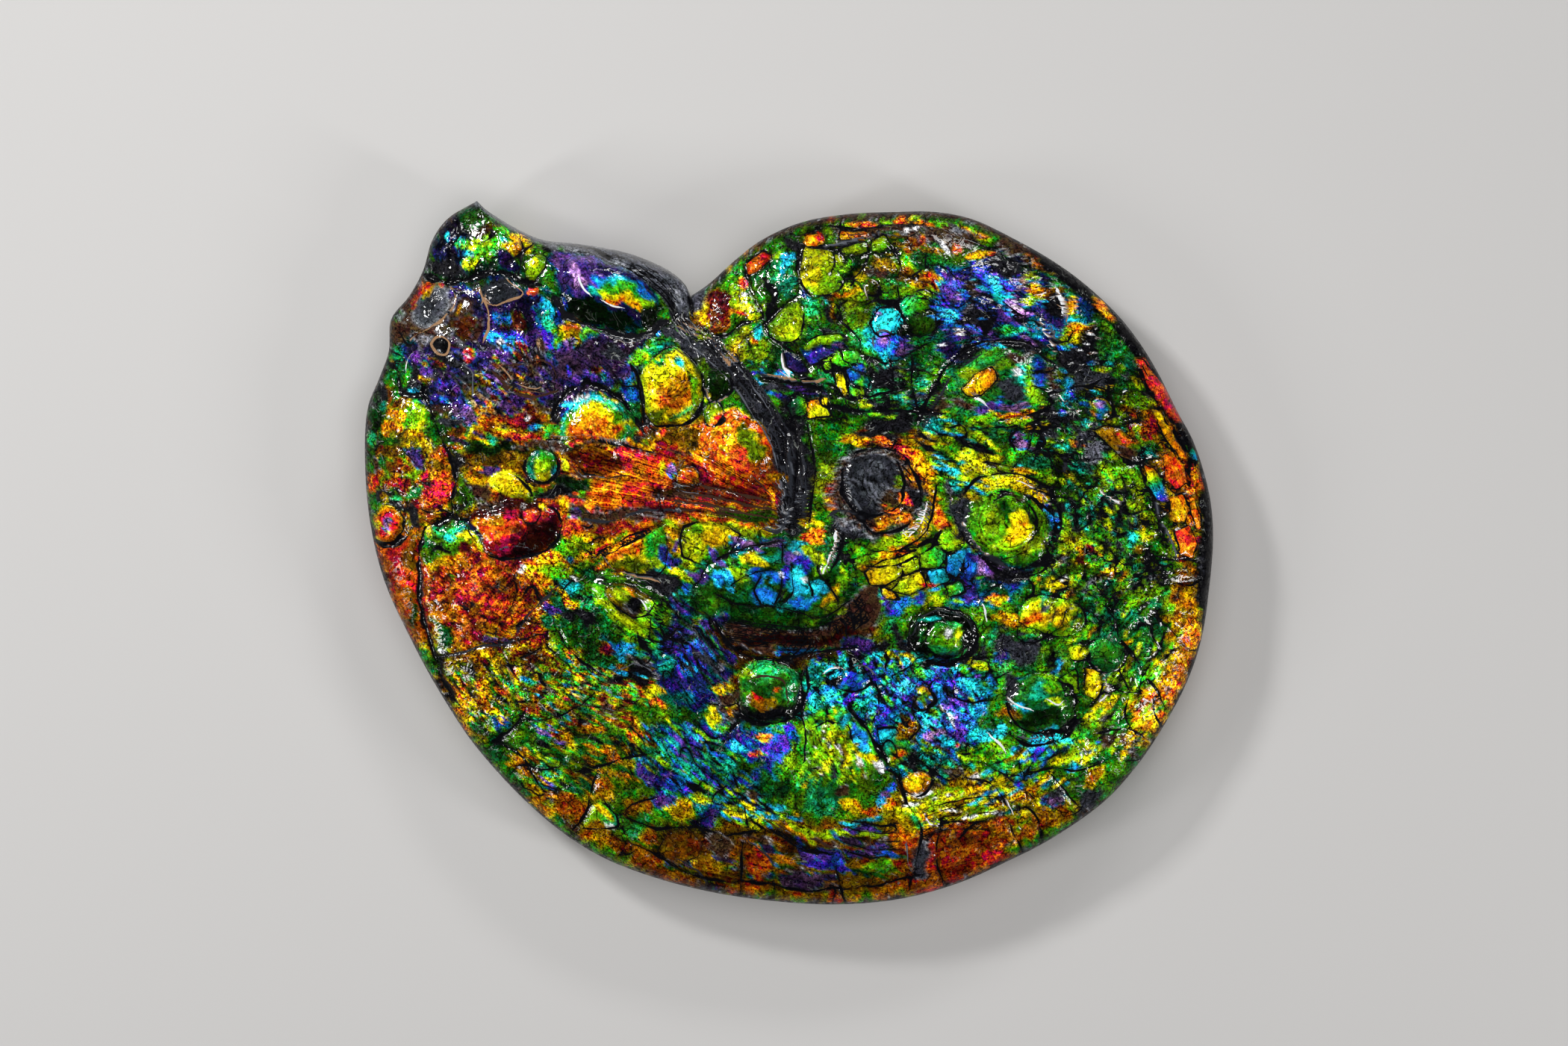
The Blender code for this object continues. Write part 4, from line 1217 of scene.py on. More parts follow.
def right_dome(skin):
    """The dome right of the umbilicus, in a glassy ridge."""
    skin.boss(1348, 706, 60, 49, -25, 3.4, "lime", "green", 0.8, 1.4)
    skin.zones(
        (1312, 690, 9, 27, "leaf", 0.75, -15), (1300, 666, 13, 10, "yellow", 0.85),
        (1330, 650, 27, 9, "gold", 0.9, -5), (1368, 652, 27, 9, "gold", 1.0, -18),
        (1396, 668, 16, 8, "amber", 0.95, -40), (1356, 668, 22, 4, "umber", 0.4, -12),
        (1346, 690, 11, 17, "green", 0.35, 20), (1335, 707, 12, 15, "leaf", 0.65),
        (1361, 714, 17, 20, "gold", 1.1), (1362, 718, 10, 12, "amber", 1.1), (1342, 731, 11, 8, "lime", 0.9),
        (1379, 704, 6, 17, "green", 0.3), (1392, 700, 8, 21, "leaf", 0.85), (1386, 731, 13, 8, "lime", 0.8),
        (1405, 715, 6, 19, "emerald", 0.8), (1411, 690, 5, 15, "azure", 0.8),
        (1355, 768, 44, 8, "coal", 0.3, 4), (1330, 764, 16, 6, "violet", 0.8),
        (1268, 650, 7, 13, "grey", 0.5), (1286, 690, 8, 26, "slate", 0.5, -20),
    )
    skin.line([(1328, 674), (1345, 665), (1366, 669), (1382, 681), (1388, 702), (1380, 724)], 1.8, 1.2)
    skin.line(
        [(1290, 662), (1310, 641), (1350, 634), (1392, 646), (1414, 668), (1420, 700), (1412, 736),
         (1392, 754), (1360, 762), (1330, 752)], 1.6, 1.0,
    )
    skin.line(
        [(1268, 650), (1276, 680), (1290, 708), (1308, 732), (1332, 752), (1352, 760)], 3.0, -1.3, "slate",
    )
    # painted highlights: thin white lines along the glassy ridge
    for run in (
        [(1274, 664), (1282, 686), (1294, 706)], [(1300, 718), (1314, 736), (1324, 742)],
    ):
        skin.line(run, 1.1, -0.2, "white")
    skin.line([(1366, 645), (1390, 656), (1408, 676)], 0.9, -0.3, "white")
    skin.line([(1278, 690), (1292, 722), (1318, 750), (1346, 770), (1384, 770), (1412, 752)], 2.2, 1.5)


def below_umbilicus(skin):
    """The small cells between the umbilicus and the dark boss."""
    skin.zones(
        (1185, 808, 7, 13, "indigo", 0.6), (1205, 813, 12, 10, "azure", 0.8),
        (1225, 805, 9, 10, "indigo", 0.6), (1255, 804, 14, 6, "yellow", 0.8),
        (1276, 815, 8, 10, "violet", 0.6), (1190, 840, 12, 8, "emerald", 0.9),
        (1150, 860, 12, 20, "violet", 0.4, 40), (1172, 875, 10, 6, "teal", 1.1),
        (1190, 880, 10, 9, "yellow", 1.0), (1213, 884, 9, 12, "gold", 1.1), (1180, 862, 14, 8, "coal", 0.3),
        (1212, 860, 26, 8, "coal", 0.3, -48), (1203, 898, 12, 6, "teal", 1.1, -50),
        (1240, 880, 8, 14, "blue", 0.7, 40),
    )


def dark_boss(skin):
    """The big dark boss below the umbilicus, and the small bosses right of it."""
    skin.boss(1262, 852, 43, 39, 0, 4.6, "green", "green", 0.05, 4.0)
    skin.boss(1266, 856, 23, 25, 15, 1.8, "leaf", "emerald", 0.75, 1.2)
    # the white mark among these is a painted highlight on the inner boss
    skin.marks(
        (1246, 829, 18, 2.6, "teal", 1.0, 5), (1278, 836, 10, 3, "emerald", 0.9, -30),
        (1282, 853, 4, 13, "lime", 1.0, -10), (1258, 870, 12, 5, "emerald", 0.8, -20),
        (1251, 850, 4, 9, "leaf", 0.9, 10), (1290, 876, 12, 4, "emerald", 0.7, 45),
        (1270, 847, 4.5, 8, "white", 1.0), (1235, 850, 3, 14, "green", 0.5),
    )
    skin.line([(1222, 850), (1232, 828), (1262, 817), (1292, 828), (1307, 856)], 1.2, -0.6, "slate")
    skin.line([(1309, 798), (1317, 812), (1321, 830)], 1.4, -0.4, "white")
    skin.zones(
        (1332, 803, 9, 5, "orange", 1.0, 30), (1320, 840, 10, 13, "green", 0.7),
        (1350, 826, 20, 14, "amber", 0.75), (1345, 808, 12, 7, "leaf", 0.7),
        (1365, 872, 34, 19, "slate", 0.4, -10), (1315, 890, 8, 10, "lime", 0.8, 40),
        (1345, 910, 7, 18, "green", 0.9, -20), (1340, 880, 10, 8, "indigo", 0.5),
    )
    skin.boss(1410, 825, 44, 26, -8, 2.6, "gold", "leaf", 0.9, 1.6)
    skin.zones(
        (1405, 816, 22, 7, "gold", 1.2, -5), (1384, 829, 13, 8, "orange", 0.8),
        (1420, 842, 22, 6, "leaf", 0.7, -15),
    )
    skin.mark(1424, 774, 8, 5, "white", 0.9, -20)
    skin.zones((1420, 782, 22, 9, "yellow", 0.8, -10), (1450, 788, 16, 8, "leaf", 0.7))
    skin.boss(1482, 878, 24, 26, 0, 2.2, "green", "emerald", 0.6, 2.2)
    skin.boss(1445, 876, 15, 10, 0, 1.0, "yellow", "lime", 1.0, 1.5)
    skin.plate([(1420, 905), (1440, 896), (1446, 930), (1426, 934)], "leaf", "lime", 0.85)
    skin.plate([(1452, 896), (1470, 898), (1478, 916), (1466, 938), (1452, 930)], "gold", "yellow", 0.95)
    skin.line([(1468, 896), (1480, 908), (1484, 926), (1470, 940)], 1.2, -0.4, "white")
    skin.boss(1395, 943, 46, 40, -20, 4.0, "emerald", "green", 0.55, 3.0)
    skin.zones(
        (1366, 944, 20, 5, "cyan", 1.2, -35), (1390, 928, 12, 10, "teal", 1.1),
        (1412, 944, 12, 8, "lime", 1.0), (1400, 905, 14, 9, "leaf", 0.8), (1360, 920, 12, 12, "slate", 0.5),
        (1352, 952, 14, 10, "amber", 0.45), (1392, 966, 28, 11, "green", 0.2),
        (1410, 920, 14, 7, "leaf", 0.8),
    )
    skin.line([(1352, 985), (1385, 1000), (1425, 988), (1446, 962)], 2.8, 1.4)
    # painted highlights: short white ridge lines
    for run in (
        [(1352, 932), (1364, 944), (1380, 950)], [(1404, 938), (1414, 946), (1422, 942)],
    ):
        skin.line(run, 1.0, -0.4, "white")
    skin.line([(1352, 980), (1380, 990), (1414, 986)], 1.0, -0.4, "grey")


def blue_field(skin):
    """The blue field between the dark boss and the eye boss."""
    skin.zones(
        (1268, 925, 20, 28, "blue", 1.0, 35), (1285, 962, 20, 24, "blue", 1.0, 30),
        (1262, 912, 14, 9, "azure", 0.9), (1300, 920, 14, 8, "cyan", 0.9), (1295, 905, 10, 8, "green", 0.8),
        (1310, 950, 14, 14, "azure", 0.7), (1248, 962, 20, 14, "cyan", 1.2),
        (1195, 925, 9, 12, "indigo", 0.6), (1215, 945, 15, 6, "azure", 0.9, 20),
        (1200, 905, 14, 8, "lime", 0.9), (1180, 906, 11, 8, "green", 0.8), (1120, 936, 14, 8, "azure", 0.9),
        (1160, 935, 10, 13, "azure", 0.8), (1145, 952, 10, 13, "blue", 0.7), (1210, 970, 14, 10, "teal", 0.8),
        (1180, 955, 12, 10, "blue", 0.8), (1320, 985, 16, 10, "cyan", 0.9, -30),
        (1290, 980, 14, 8, "indigo", 0.5),
    )
    skin.dim(1200, 935, 110, 50, 0, 1.1)
    skin.flecks(
        1240, 925, 66, 44, 0, 70, 5, ("black", "black", "cyan", "teal", "blue", "green"), 1.2, 2.2, -50,
    )
    skin.flecks(1130, 930, 56, 40, 0, 60, 5, ("black", "teal", "teal", "blue", "emerald"), 1.2, 2.0, 30)
    # painted glints: white and azure strands
    skin.flecks(1265, 950, 30, 34, 0, 12, 3, ("white", "azure"), 1.0, 3.4, -50)
    skin.boss(1140, 914, 23, 14, 0, 1.6, "blue", "azure", 0.9, 1.8)
    skin.line([(1104, 901), (1118, 894), (1130, 897)], 0.9, -0.4, "white")
    skin.line([(1146, 892), (1160, 896), (1172, 905)], 0.9, -0.4, "grey")
    skin.boss(1238, 935, 13, 14, 0, 1.2, "green", "orange", 0.9, 1.8)
    for run in (
        [(1222, 905), (1228, 930), (1222, 950), (1234, 975)], [(1172, 915), (1178, 940), (1170, 965)],
        [(1284, 905), (1276, 930), (1300, 940), (1320, 935)],
    ):
        skin.line(run, 1.4, 0.7)


def eye_boss(skin):
    """The eye boss at the bottom of the middle, and the cells left of it."""
    skin.zones(
        (840, 875, 20, 8, "cyan", 0.6, 30), (850, 905, 28, 12, "black", 0.1),
        (875, 925, 13, 8, "yellow", 0.9), (886, 941, 11, 8, "orange", 0.8), (895, 892, 9, 9, "teal", 0.8),
        (928, 882, 24, 20, "azure", 0.75, 35), (960, 893, 8, 7, "grey", 0.5),
        (935, 914, 10, 13, "indigo", 0.4), (910, 935, 30, 8, "teal", 0.4), (905, 860, 16, 14, "indigo", 0.5),
        (960, 870, 22, 8, "indigo", 0.4, -15), (980, 938, 22, 26, "umber", 0.6),
        (985, 922, 12, 16, "orange", 0.6), (966, 922, 12, 10, "amber", 0.9),
        (952, 962, 14, 15, "yellow", 0.8, -20), (972, 974, 14, 5, "lime", 0.7, 15),
        (983, 950, 9, 7, "amber", 0.6), (965, 993, 36, 5, "black", 0.1), (920, 960, 20, 12, "green", 0.35),
        (880, 965, 24, 12, "leaf", 0.5),
    )
    skin.line([(830, 895), (850, 890), (872, 898)], 1.2, -0.2, "grey")
    skin.line([(944, 942), (968, 946), (990, 942)], 1.0, 0.6)
    skin.line([(930, 966), (946, 984), (966, 986), (988, 968)], 2.0, 1.0)
    skin.boss(1030, 926, 44, 44, 0, 5.0, "green", "green", 0.6, 3.4)
    skin.zones(
        (1030, 893, 33, 8, "emerald", 1.0), (1001, 905, 12, 8, "lime", 0.8),
        (1030, 924, 24, 13, "green", 0.35), (1012, 932, 6, 4, "scarlet", 0.8),
        (1047, 929, 6, 4, "orange", 0.7), (1033, 956, 36, 14, "black", 0.1),
        (1060, 920, 7, 24, "emerald", 0.8), (1020, 940, 22, 5, "amber", 0.5),
    )
    skin.line([(1004, 912), (1022, 904), (1044, 908), (1054, 922), (1056, 938)], 1.8, -0.3, "umber")
    skin.zones(
        (990, 1000, 14, 8, "cyan", 1.0), (1058, 985, 14, 14, "blue", 0.7),
        (1038, 1005, 18, 14, "indigo", 0.8), (1018, 992, 7, 6, "scarlet", 1.0),
        (1016, 1009, 9, 5, "red", 0.8), (1071, 1000, 8, 12, "blue", 0.9), (1060, 1017, 9, 8, "leaf", 0.8),
        (1085, 905, 10, 14, "teal", 0.6), (1110, 900, 20, 9, "cyan", 1.1, -10),
        (1117, 913, 9, 6, "black", 0.1), (1095, 926, 12, 10, "azure", 0.8), (1085, 955, 11, 8, "cyan", 1.1),
    )
    skin.line([(1078, 890), (1082, 925), (1076, 955), (1080, 985), (1076, 1020)], 2.4, 1.2)
    skin.line([(1092, 975), (1110, 966), (1134, 972), (1142, 992)], 1.6, 0.8)
    skin.boss(1122, 1010, 50, 66, 20, 2.0, "leaf", "green", 0.85)
    skin.zones(
        (1105, 990, 26, 30, "leaf", 0.95), (1142, 1016, 18, 34, "leaf", 0.9, -20),
        (1100, 1062, 30, 26, "emerald", 0.6), (1112, 1032, 26, 8, "slate", 0.4),
        (1150, 1062, 22, 20, "green", 0.55), (1134, 1078, 18, 6, "gold", 0.8, -20),
        (1130, 1062, 10, 8, "umber", 0.5), (1076, 1068, 5, 22, "gold", 0.7, -30),
    )
    skin.mark(1128, 1037, 5, 4, "red", 0.9)
    skin.flecks(
        1128, 1000, 40, 46, 0, 60, 3, ("lime", "yellow", "green", "black", "lime", "white"), 1.0, 4.6, -62,
    )
    skin.flow(1122, 1010, 48, 60, 20, -62, 1.0)


def violet_slope(skin):
    """The streaked violet and blue slope at the lower left of the eye boss."""
    skin.zones(
        (900, 990, 14, 9, "indigo", 0.6), (925, 1015, 18, 10, "violet", 0.6),
        (905, 1045, 10, 13, "violet", 0.6, 40), (925, 1060, 13, 9, "blue", 0.8),
        (880, 1003, 6, 14, "emerald", 0.7), (870, 1035, 12, 18, "indigo", 0.5, 20),
        (915, 1082, 18, 16, "gold", 0.8), (890, 1075, 14, 12, "violet", 0.6),
        (965, 1045, 20, 12, "blue", 0.4), (965, 1072, 27, 6, "teal", 0.8, 15),
        (985, 1085, 20, 6, "lime", 0.9, 20), (945, 1092, 20, 8, "indigo", 0.5, 25),
        (1005, 1070, 10, 12, "umber", 0.4), (1030, 1085, 24, 5, "cyan", 1.1, 15),
        (1055, 1095, 17, 5, "azure", 0.9, 15), (1020, 1100, 20, 5, "yellow", 0.9, 25),
        (1065, 1108, 12, 8, "orange", 0.9), (1010, 1030, 18, 8, "green", 0.4),
        (1040, 1055, 22, 14, "green", 0.35), (870, 1115, 16, 11, "orange", 0.5),
        (850, 1104, 20, 8, "green", 0.6, 20), (1070, 1070, 14, 10, "leaf", 0.5),
    )
    skin.plate(
        [(880, 1140), (895, 1118), (922, 1112), (940, 1128), (935, 1148), (905, 1158)],
        "amber", "orange", 0.35, 0.5,
    )
    skin.line([(985, 1045), (995, 1075), (1000, 1102)], 2.0, 1.0)
    skin.line([(1034, 1100), (1062, 1118), (1090, 1124), (1118, 1140)], 1.6, -0.5, "umber")
    for step in range(4):
        skin.line(
            [(1030 + 12 * step, 1112 + 3 * step), (1062 + 12 * step, 1132 + 3 * step),
             (1100 + 12 * step, 1144 + 3 * step)], 1.2, 0.5,
        )
    skin.zones(
        (1080, 1112, 40, 7, "lime", 0.8, -30), (1095, 1142, 40, 6, "indigo", 0.5, -28),
        (1110, 1160, 40, 6, "blue", 0.5, -20),
    )


def lower_rim(skin):
    """The brown and olive rim along the bottom."""
    skin.zones(
        (850, 1140, 40, 13, "orange", 0.4, -20), (890, 1170, 40, 12, "orange", 0.35, -14),
        (960, 1130, 20, 20, "umber", 0.4), (985, 1185, 22, 8, "scarlet", 0.5, -5),
        (1015, 1160, 12, 28, "scarlet", 0.55), (1065, 1176, 34, 13, "mauve", 0.3),
        (1130, 1203, 18, 7, "scarlet", 0.65), (1150, 1182, 30, 12, "amber", 0.35),
        (950, 1160, 24, 12, "amber", 0.4, -15), (1190, 1190, 26, 9, "orange", 0.45, 8),
        (800, 1118, 20, 14, "amber", 0.45, -30), (760, 1080, 20, 20, "orange", 0.45, -35),
    )
    for run in (
        [(905, 1148), (930, 1163), (945, 1178), (955, 1192)], [(1003, 1126), (1024, 1143), (1035, 1158)],
    ):
        skin.line(run, 1.2, -0.2, "slate")
    for run in (
        [(995, 1130), (993, 1165), (990, 1200)], [(1118, 1160), (1125, 1185), (1135, 1208)],
        [(840, 1095), (880, 1110), (930, 1108), (975, 1118), (1010, 1112)],
        [(820, 1120), (870, 1140), (930, 1172), (1000, 1180), (1080, 1192), (1170, 1186), (1230, 1170)],
    ):
        skin.line(run, 1.8, 0.8)


def ribbed_corner(skin):
    """The ribbed plates at the bottom right of the middle."""
    skin.zones(
        (1150, 985, 10, 16, "azure", 0.9, 30), (1160, 1010, 10, 9, "gold", 1.0),
        (1168, 1017, 8, 5, "white", 0.8), (1228, 1020, 14, 20, "coal", 0.3), (1250, 985, 13, 6, "mauve", 1.4),
        (1285, 1000, 10, 5, "scarlet", 0.9), (1250, 1015, 22, 12, "teal", 0.7),
        (1275, 1015, 6, 8, "azure", 0.8), (1275, 1032, 14, 9, "umber", 0.4), (1312, 1035, 5, 5, "white", 0.9),
        (1265, 1076, 34, 14, "lime", 0.9, 12), (1275, 1060, 16, 12, "leaf", 0.8),
        (1310, 1065, 20, 10, "gold", 0.9), (1225, 1097, 14, 9, "emerald", 0.9),
        (1190, 1080, 14, 9, "orange", 0.8), (1160, 1085, 16, 6, "orange", 0.7, -20),
        (1175, 1072, 6, 13, "cyan", 0.9), (1181, 1062, 10, 8, "violet", 0.7),
        (1192, 1055, 8, 6, "azure", 0.8), (1160, 1050, 12, 14, "leaf", 0.5),
        (1150, 1100, 26, 4, "cyan", 0.9, 8), (1150, 1112, 30, 5, "violet", 0.7, 10),
        (1130, 1120, 20, 4, "lime", 0.8, 10), (1172, 1118, 20, 4, "lime", 1.0, 8),
        (1160, 1140, 30, 6, "violet", 0.6, 20), (1190, 1146, 16, 5, "azure", 0.8, 10),
        (1180, 1162, 20, 8, "leaf", 0.6), (1202, 1120, 11, 13, "orange", 0.8),
        (1235, 1148, 14, 22, "umber", 0.4), (1300, 1087, 30, 9, "gold", 0.85, 5),
        (1300, 1110, 40, 13, "orange", 0.6, 8), (1340, 1120, 30, 15, "orange", 0.5, 15),
        (1280, 1150, 44, 24, "scarlet", 0.42, 14), (1232, 1186, 30, 10, "scarlet", 0.45, 15),
        (1322, 1150, 24, 7, "red", 0.7, 18), (1375, 1066, 14, 13, "amber", 0.75),
        (1358, 1055, 11, 8, "yellow", 0.9), (1367, 1050, 6, 8, "azure", 0.8, 40),
        (1380, 1105, 14, 8, "green", 0.6, 20), (1410, 1080, 14, 15, "mauve", 0.4, 20),
        (1330, 1030, 17, 10, "leaf", 0.9), (1305, 1015, 12, 12, "lime", 0.7),
        (1370, 1005, 15, 9, "azure", 0.8, 10), (1395, 1010, 17, 9, "cyan", 0.8, 10),
        (1430, 1010, 26, 11, "lime", 0.8, 15), (1455, 1000, 16, 9, "yellow", 0.9, 25),
        (1338, 987, 12, 7, "cyan", 1.3, 45), (1425, 1042, 34, 12, "leaf", 0.6, 20),
        (1475, 1030, 24, 16, "green", 0.6, 35), (1415, 1062, 14, 8, "slate", 0.6, 20),
        (1345, 1022, 24, 12, "green", 0.9), (1400, 995, 40, 7, "cyan", 1.0, 18),
        (1405, 1007, 30, 4, "blue", 0.8, 22), (1440, 1014, 34, 7, "yellow", 0.95, 26),
    )
    skin.line([(1138, 950), (1160, 975), (1175, 1000), (1190, 1025), (1205, 1050), (1215, 1076)], 3.4, 1.8)
    skin.flecks(
        1275, 1082, 60, 22, 0, 70, 3, ("lime", "yellow", "gold", "lime", "white", "amber"), 1.1, 5.0, 14,
    )
    skin.flow(1280, 1085, 64, 26, 0, 14, 1.0)
    skin.zone(1228, 1152, 15, 22, "slate", 0.5)
    skin.line([(1212, 1130), (1216, 1160), (1228, 1176)], 1.0, -0.3, "grey")
    skin.plate(
        [(1176, 975), (1200, 974), (1224, 1003), (1216, 1020), (1196, 1025), (1181, 1004)],
        "azure", "leaf", 0.85,
    )
    skin.mark(1205, 1011, 12, 5, "orange", 0.9, 20)
    skin.zone(1216, 970, 13, 20, "amber", 0.4)
    skin.boss(1228, 1047, 20, 16, 0, 1.6, "gold", "orange", 0.95, 1.6)
    # painted highlights: a white mark and short white ridge lines
    skin.mark(1228, 1063, 10, 3, "white", 0.7)
    skin.line([(1238, 1090), (1246, 1104), (1262, 1109)], 1.2, -0.3, "white")
    skin.line([(1326, 985), (1336, 998), (1346, 1008)], 1.4, -0.3, "white")
    skin.line([(1344, 1070), (1351, 1079), (1356, 1088)], 1.6, -0.3, "white")
    for run in (
        [(1360, 1080), (1385, 1090), (1396, 1126)], [(1355, 1108), (1372, 1146)],
        [(1215, 1076), (1232, 1110), (1226, 1150), (1216, 1190)], [(1262, 1100), (1256, 1140), (1262, 1180)],
        [(1410, 1040), (1440, 1076)], [(1296, 1040), (1330, 1052), (1348, 1080)],
        [(1355, 1040), (1400, 1030), (1450, 1030), (1500, 1010)],
    ):
        skin.line(run, 1.8, 0.9)
    for step in range(5):
        skin.line([(1240, 1084 + 9 * step), (1280, 1072 + 10 * step), (1330, 1066 + 11 * step)], 0.8, 0.5)
        skin.line([(1130, 1096 + 11 * step), (1165, 1104 + 11 * step), (1205, 1104 + 11 * step)], 1.0, 0.5)


def right_bottom_rim(skin):
    """The rim at the lower right, with its warm stripes and streaked plates."""
    skin.zones(
        (1572, 905, 16, 46, "amber", 0.75, -15), (1572, 915, 10, 22, "orange", 0.95, -15),
        (1533, 956, 20, 22, "scarlet", 0.9), (1530, 950, 9, 10, "red", 1.0),
        (1560, 930, 12, 16, "orange", 0.8, -15), (1487, 995, 13, 10, "orange", 0.5),
        (1520, 900, 22, 30, "leaf", 0.6, -10), (1500, 950, 18, 18, "green", 0.5),
        (1540, 860, 24, 26, "green", 0.5, -10), (1590, 850, 12, 30, "orange", 0.7, -8),
        (1500, 830, 30, 22, "emerald", 0.5), (1540, 800, 26, 26, "leaf", 0.6),
        (1590, 780, 16, 40, "amber", 0.6), (1470, 965, 16, 12, "lime", 0.6),
        (1400, 1100, 40, 12, "orange", 0.4, 30), (1340, 1170, 40, 7, "amber", 0.4, 22),
        (1455, 1050, 30, 14, "green", 0.5, 35), (1458, 1070, 20, 12, "slate", 0.4, 35),
        (1485, 985, 14, 20, "umber", 0.5), (1512, 1005, 10, 14, "umber", 0.5, 30),
        (1470, 1040, 20, 10, "amber", 0.6, 30),
    )
    for run in (
        [(1535, 910), (1552, 925), (1560, 948)], [(1548, 935), (1545, 956), (1556, 972)],
        [(1500, 900), (1512, 930), (1506, 960), (1520, 985)], [(1560, 850), (1545, 885), (1530, 905)],
        [(1480, 910), (1500, 925), (1530, 930)], [(1470, 980), (1500, 975), (1530, 985)],
    ):
        skin.line(run, 1.6, 0.8)


def lobe_by_notch(skin):
    """The lobe beside the notch, and the plates right of it."""
    skin.zones(
        (940, 416, 15, 18, "gold", 0.9), (930, 430, 8, 14, "amber", 0.7),
        (965, 410, 15, 24, "crimson", 0.3, -10), (985, 388, 16, 13, "leaf", 0.7),
        (985, 412, 12, 10, "lime", 0.75), (1001, 408, 12, 18, "lime", 1.0), (985, 422, 14, 6, "orange", 0.7),
        (960, 438, 14, 8, "scarlet", 0.4), (1030, 385, 26, 32, "green", 0.45),
        (1048, 357, 9, 12, "cyan", 0.9), (1052, 380, 12, 14, "teal", 0.5), (1034, 343, 9, 8, "lime", 0.9),
        (1033, 365, 10, 14, "emerald", 0.7), (1062, 325, 14, 22, "coal", 0.3),
        (1080, 397, 14, 8, "indigo", 0.4, -20), (1018, 415, 10, 8, "leaf", 0.6),
    )
    skin.plate([(999, 352), (1022, 334), (1033, 343), (1018, 362), (1001, 372)], "red", "scarlet", 0.85)
    skin.marks(
        (996, 380, 7, 8, "red", 1.3, 20), (998, 394, 5, 3, "white", 1.0), (971, 449, 4, 3, "white", 1.0),
    )
    skin.line([(926, 400), (929, 428), (948, 446), (970, 450), (990, 436), (1018, 426)], 2.6, 1.6)
    skin.line([(1000, 368), (1009, 392), (1016, 412), (1024, 434)], 1.8, 1.0)
    skin.line([(1070, 338), (1068, 365), (1078, 388), (1088, 398)], 2.2, 1.2)
    skin.line([(1066, 396), (1048, 410), (1026, 434), (1034, 450), (1052, 466), (1072, 474)], 1.8, 1.2)
    skin.plate(
        [(1028, 434), (1048, 412), (1070, 402), (1076, 420), (1074, 444), (1060, 458), (1045, 460),
         (1034, 450)], "leaf", "lime", 0.75,
    )
    skin.zones(
        (1055, 440, 14, 10, "lime", 0.95), (1100, 425, 24, 24, "green", 0.5),
        (1098, 402, 20, 4, "teal", 0.9, -5), (1086, 418, 8, 12, "emerald", 0.8),
        (1110, 440, 14, 8, "slate", 0.6), (1115, 415, 10, 8, "coal", 0.3), (1000, 462, 26, 22, "lime", 0.6),
        (1018, 444, 8, 8, "cyan", 1.0), (1010, 456, 5, 5, "orange", 0.9),
        (985, 470, 12, 14, "yellow", 0.7, -40), (1040, 487, 10, 14, "green", 0.25),
        (1090, 466, 14, 7, "violet", 0.8), (1100, 482, 11, 9, "azure", 0.6), (1112, 486, 14, 12, "lime", 0.6),
        (1122, 468, 12, 6, "mauve", 0.6),
    )
    skin.plate(
        [(1073, 466), (1086, 452), (1110, 446), (1131, 448), (1126, 457), (1100, 462), (1080, 470)],
        "leaf", "lime", 1.0,
    )
    skin.plate([(1050, 470), (1071, 478), (1084, 497), (1066, 501), (1053, 490)], "indigo", "violet", 0.4)
    skin.line([(1049, 472), (1049, 488), (1056, 500)], 1.8, -0.4, "white")
    skin.zone(1053, 500, 9, 5, "cyan", 1.3)
    for points, start, end, shade in (
        ([(1125, 470), (1145, 465), (1152, 480), (1141, 490), (1128, 485)], "emerald", "lime", 1.1),
        ([(1115, 489), (1128, 497), (1136, 521), (1130, 528), (1118, 514)], "lime", "gold", 1.0),
        ([(1130, 496), (1156, 490), (1158, 504), (1139, 511)], "azure", "blue", 0.8),
        ([(1138, 511), (1158, 505), (1159, 527), (1140, 529)], "teal", "yellow", 1.1),
        ([(1052, 545), (1068, 531), (1085, 534), (1080, 556), (1062, 558)], "teal", "lime", 0.9),
        ([(1082, 534), (1108, 529), (1112, 558), (1080, 562)], "orange", "lime", 1.1),
        ([(1074, 472), (1100, 464), (1122, 470), (1112, 486), (1084, 490)], "blue", "violet", 0.8),
        ([(1100, 484), (1122, 472), (1148, 470), (1156, 486), (1130, 494), (1106, 500)], "lime", "emerald",
         1.2),
    ):
        skin.plate(points, start, end, shade)
    skin.line([(1028, 500), (1055, 507), (1085, 511), (1103, 508)], 1.6, -0.2, "tan")
    skin.line([(1024, 505), (1055, 513), (1090, 517), (1112, 524)], 3.2, 1.6)
    skin.zones((1035, 520, 24, 7, "slate", 0.5, -20), (1022, 510, 14, 4, "cyan", 0.7, -20))
    for run in (
        [(906, 436), (924, 446), (946, 452)], [(912, 430), (930, 441), (950, 446)],
        [(948, 452), (962, 468), (978, 490)], [(956, 450), (970, 464), (986, 484)],
    ):
        skin.line(run, 1.4, -0.4, "tan")
        skin.line([(x + 3, y + 4) for x, y in run], 1.0, 0.5)
    skin.zone(925, 444, 26, 6, "lime", 0.6, -18)


